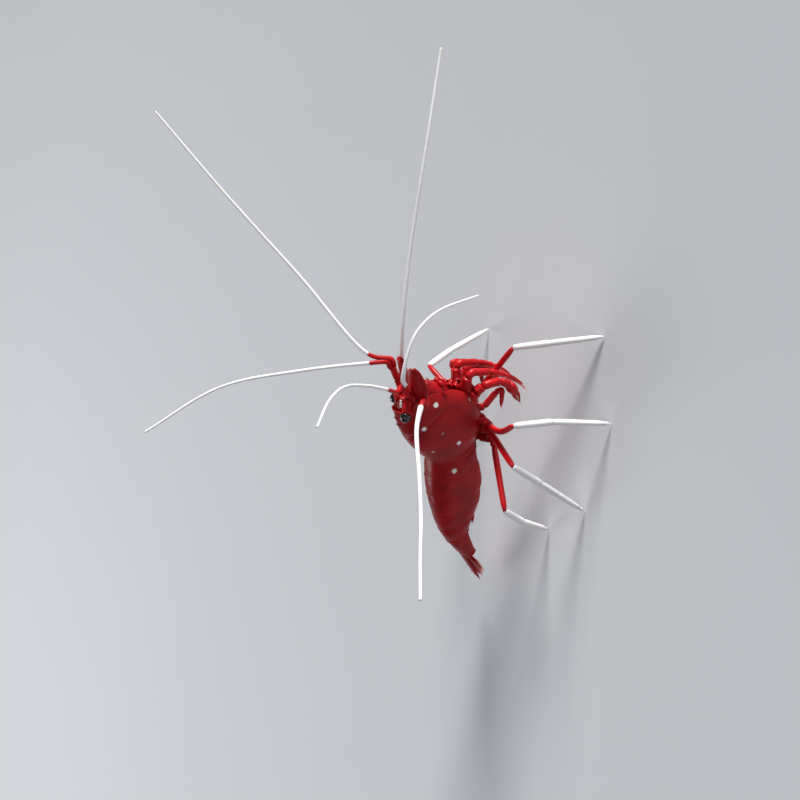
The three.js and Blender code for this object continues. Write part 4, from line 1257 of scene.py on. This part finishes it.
def add_bristles(name, hairs):
    """Each hair: root, heading, bend, its length and thickness, and its root's place on the map."""
    roots, ways, bends, sizes, places = (np.array([hair[k] for hair in hairs], float) for k in range(5))
    lengths, thicks = sizes[:, :1], sizes[:, 1:]
    sides = np.cross(ways, bends + np.array([0.01, 0.02, 0.03]))
    sides /= np.linalg.norm(sides, axis=1)[:, None]
    tops = np.cross(ways, sides)
    verts = np.zeros((len(hairs), BRISTLE_RINGS, BRISTLE_SIDES, 3))
    maps = np.zeros((len(hairs), BRISTLE_RINGS, BRISTLE_SIDES, 2))
    for ring in range(BRISTLE_RINGS):
        share = ring / (BRISTLE_RINGS - 1)
        centres = roots + ways * lengths * share + bends * lengths * share * share
        radii = thicks * (1 - BRISTLE_TAPER * share)
        for k in range(BRISTLE_SIDES):
            angle = 2 * math.pi * k / BRISTLE_SIDES
            turned = sides * math.cos(angle) + tops * math.sin(angle)
            verts[:, ring, k] = centres + turned * radii
            maps[:, ring, k] = places + PATCH * np.array([share, k / BRISTLE_SIDES])
    mesh = bpy.data.meshes.new(name)
    mesh.from_pydata(verts.reshape(-1, 3).tolist(), [], bristle_faces(len(hairs)))
    mesh.transform(TO_FRAME)
    layer = mesh.uv_layers.new(name="OFBake")
    corners = np.zeros(len(mesh.loops), int)
    mesh.loops.foreach_get("vertex_index", corners)
    layer.data.foreach_set("uv", maps.reshape(-1, 2)[corners].ravel())
    outward = bmesh.new()
    outward.from_mesh(mesh)
    bmesh.ops.recalc_face_normals(outward, faces=outward.faces)
    outward.to_mesh(mesh)
    outward.free()
    mesh.materials.append(BRISTLE_ROSE)
    piece = bpy.data.objects.new(name, mesh)
    bpy.context.scene.collection.objects.link(piece)
    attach(piece, "root")
    made[name] = len(mesh.polygons)
    print(f"{name}: {len(hairs)} bristles")


# %% A fringe round a leaf
chance = random.Random(7)
FRINGE_SPREAD = 0.08
BRUSH_SPREAD = 0.16


def wander(amount):
    """A small random turn, which is drawn anew for every bristle."""
    return Vector([chance.uniform(-amount, amount) for _ in range(3)])


def fringe(leaf, spacing, length, thick, corner, edges=(-1, 1)):
    """A row of bristles round a leaf's margin that leans towards its tip."""
    hairs = []
    count = int((leaf.tip - leaf.root).length / spacing)
    for edge in edges:
        for k in range(count):
            share = 0.2 + 0.8 * k / count
            root = leaf.point(edge * 0.97, share)
            lean = 0.55 + 0.75 * soft_step(0.6, 1, share)
            heading = (leaf.width * edge + leaf.heading * lean + wander(FRINGE_SPREAD)).normalized()
            size = (length * chance.uniform(0.8, 1.1), thick)
            on_map = (corner[0] + 0.1 * share, corner[1] + 0.02 * edge)
            hairs.append((root, heading, leaf.heading * 0.25, size, on_map))
    count = int(leaf.half_width * 1.2 / spacing)
    for k in range(count):
        across = -0.8 + 1.6 * k / max(1, count - 1)
        root = leaf.point(across * 0.8, 0.985)
        heading = (leaf.heading + leaf.width * across * 0.5 + wander(FRINGE_SPREAD)).normalized()
        on_map = (corner[0] + 0.12, corner[1] + 0.02 * across)
        hairs.append((root, heading, leaf.width * 0.05, (length, thick), on_map))
    return hairs


# %% A brush along a limb


def brush(path, radius, spacing, length, thick, corner, turns, facing, first=0.1):
    """Tufts all along a limb, at some turns about it from the side that faces a direction."""
    hairs = []
    rough = smooth_path(path, 40)
    count = max(2, int(sum((b - a).length for a, b in zip(rough, rough[1:])) / spacing))
    line = smooth_path(path, count)
    for k, (place, heading) in enumerate(zip(line, headings(line))):
        share = k / count
        if share < first:
            continue
        for turn in turns:
            across = heading.cross(facing).normalized()
            aside = (facing * math.cos(turn) + across * math.sin(turn)).normalized()
            direction = (aside + heading * 0.6 + wander(BRUSH_SPREAD)).normalized()
            size = (length * chance.uniform(0.6, 1.1), thick)
            on_map = (corner[0] + 0.2 * share, corner[1] + 0.01 * turn)
            hairs.append((place + aside * radius * 0.85, direction, heading * 0.3, size, on_map))
    return hairs


# %% The fringes of the tail fan, scales and paddles
MAP_ROW = 0.06
hairs = []
for row, name in enumerate(name for name in leaves if name.startswith("tail")):
    hairs += fringe(leaves[name], 0.085, length=0.75, thick=0.022, corner=(0.05, 0.1 + MAP_ROW * row))
for k in range(11):
    out = -0.28 + 0.056 * k
    root = tail_point(TELSON_LENGTH - 0.12, TELSON_DOWN, out)
    heading = (TAIL_ALONG + RIGHTWARD * out * 0.8).normalized()
    hairs.append((root, heading, TAIL_DOWN * 0.05, (0.7, 0.022), (0.3 + 0.01 * k, 0.1)))
add_bristles("bristles_tail_fan", hairs)

hairs = []
for row, name in enumerate(name for name in leaves if name.startswith("antenna_scale")):
    corner = (0.4, 0.1 + MAP_ROW * row)
    hairs += fringe(leaves[name], 0.08, length=0.4, thick=0.016, corner=corner, edges=(-1,))
add_bristles("bristles_scales", hairs)

hairs = []
for row, name in enumerate(name for name in leaves if name.startswith("swimmeret")):
    hairs += fringe(leaves[name], 0.11, length=0.5, thick=0.018, corner=(0.6, 0.05 + 0.04 * row))
add_bristles("bristles_paddles", hairs)

# %% The brushes of the limbs
LIMB_MAP_ROW = 0.07
BRUSH_TURNS = [-1.2, -0.8, -0.4, 0, 0.4, 0.8, 1.2]
FLOORWARD = Vector((0, 0, -1))
hairs = []
for row, (name, path) in enumerate(folded_lines.items()):
    corner = (0.05, 0.5 + LIMB_MAP_ROW * row)
    dense = name.startswith("maxilliped")
    hairs += brush(path, radius=0.38, spacing=0.16 if dense else 0.3, length=0.9 if dense else 0.5,
                   thick=0.02, corner=corner, turns=BRUSH_TURNS if dense else BRUSH_TURNS[1::2],
                   facing=-AHEAD)
add_bristles("bristles_folded_limbs", hairs)

hairs = []
for row, lines in enumerate(leg_lines.values()):
    height = 0.5 + LIMB_MAP_ROW * row
    hairs += brush(lines["foot"], radius=0.4, spacing=0.42, length=0.32, thick=0.025,
                   corner=(0.4, height), turns=[-0.3, 0.3], facing=FLOORWARD, first=0.3)
    hairs += brush(lines["thigh"], radius=0.42, spacing=0.7, length=0.26, thick=0.022,
                   corner=(0.65, height), turns=[0.2], facing=FLOORWARD, first=0.3)
add_bristles("bristles_walking_legs", hairs)

# %% [markdown]
# ## Floor, light and camera
# The animal stands on a plain pale floor. The key light is a wide soft sun from ahead of it and
# a little above, because a sun lights the floor evenly on all sides, where a near lamp would
# leave a bright patch. A weak fill and a rim lift the shadows. The camera looks down past the
# right side and is rolled a quarter turn, so that the head is at the top.

# %% The floor
FLOOR_SIZE = 4
FLOOR_GREY = (0.68, 0.7, 0.73, 1)
FLOOR_PALE = (0.7, 0.72, 0.75, 1)
floor_shape = bmesh.new()
bmesh.ops.create_grid(floor_shape, x_segments=1, y_segments=1, size=FLOOR_SIZE / 2)
floor_mesh = bpy.data.meshes.new("floor")
floor_shape.to_mesh(floor_mesh)
floor_shape.free()
floor = bpy.data.objects.new("floor", floor_mesh)
bpy.context.scene.collection.objects.link(floor)
paint = Finish("floor_paint", roughness=0.9, coat=0.0, mirror=0.0)
paint_colour = paint.mix(paint.noise(40), FLOOR_GREY, FLOOR_PALE)
floor_mesh.materials.append(paint.end(paint_colour, paint.noise(3), 0.05, 0.1))
print("floor:", FLOOR_SIZE, "m wide")

# %% The camera
ELEVATION = math.radians(32)
YAW = math.radians(25)
CAMERA_PLACE = Vector((-243.8, -119.2, 196.1))
level = Vector((-math.cos(YAW), -math.sin(YAW), 0))
behind = level * math.cos(ELEVATION) + Vector((0, 0, math.sin(ELEVATION)))
upward = Vector((math.sin(YAW), -math.cos(YAW), 0))
turn = Matrix((upward.cross(behind), upward, behind)).transposed().to_4x4()
view = bpy.data.cameras.new("view")
view.sensor_width = 36
view.lens = 89.1
view.clip_start = 0.01
view.clip_end = 20
camera = bpy.data.objects.new("camera", view)
camera.matrix_world = Matrix.Translation(TO_FRAME @ CAMERA_PLACE) @ turn
bpy.context.scene.collection.objects.link(camera)
bpy.context.scene.camera = camera
print("camera", round((TO_FRAME @ CAMERA_PLACE).length, 3), "m from the part's origin")

# %% Soft studio light
aim = TO_FRAME @ on_body(3, -4, 0)


def add_light(name, kind, place, strength, softness, colour=(1, 1, 1)):
    """A lamp that is turned to the animal. A sun's softness is its angle, an area's is its size."""
    lamp = bpy.data.lights.new(name, kind)
    lamp.energy = strength
    lamp.color = colour
    if kind == "SUN":
        lamp.angle = math.radians(softness)
    else:
        lamp.size = softness * MM
    light = bpy.data.objects.new(name, lamp)
    light.location = TO_FRAME @ Vector(place)
    light.rotation_euler = (aim - light.location).to_track_quat("-Z", "Y").to_euler()
    bpy.context.scene.collection.objects.link(light)


add_light("key", "SUN", (110, -560, 165), 4.8, 18, (1.0, 0.97, 0.94))
add_light("fill", "AREA", (-300, -60, 300), 0.22, 300, (0.93, 0.96, 1.0))
add_light("rim", "AREA", (220, 220, 260), 0.4, 200)
world = bpy.data.worlds.new("studio")
world.use_nodes = True
sky = world.node_tree.nodes["Background"]
sky.inputs["Color"].default_value = (0.85, 0.9, 1.0, 1)
sky.inputs["Strength"].default_value = 0.18
bpy.context.scene.world = world
bpy.context.scene.view_settings.view_transform = "Standard"
print("lights:", len(bpy.data.lights), "lamps and a dim sky")

# %% Count the faces
print("faces in all:", sum(made.values()))
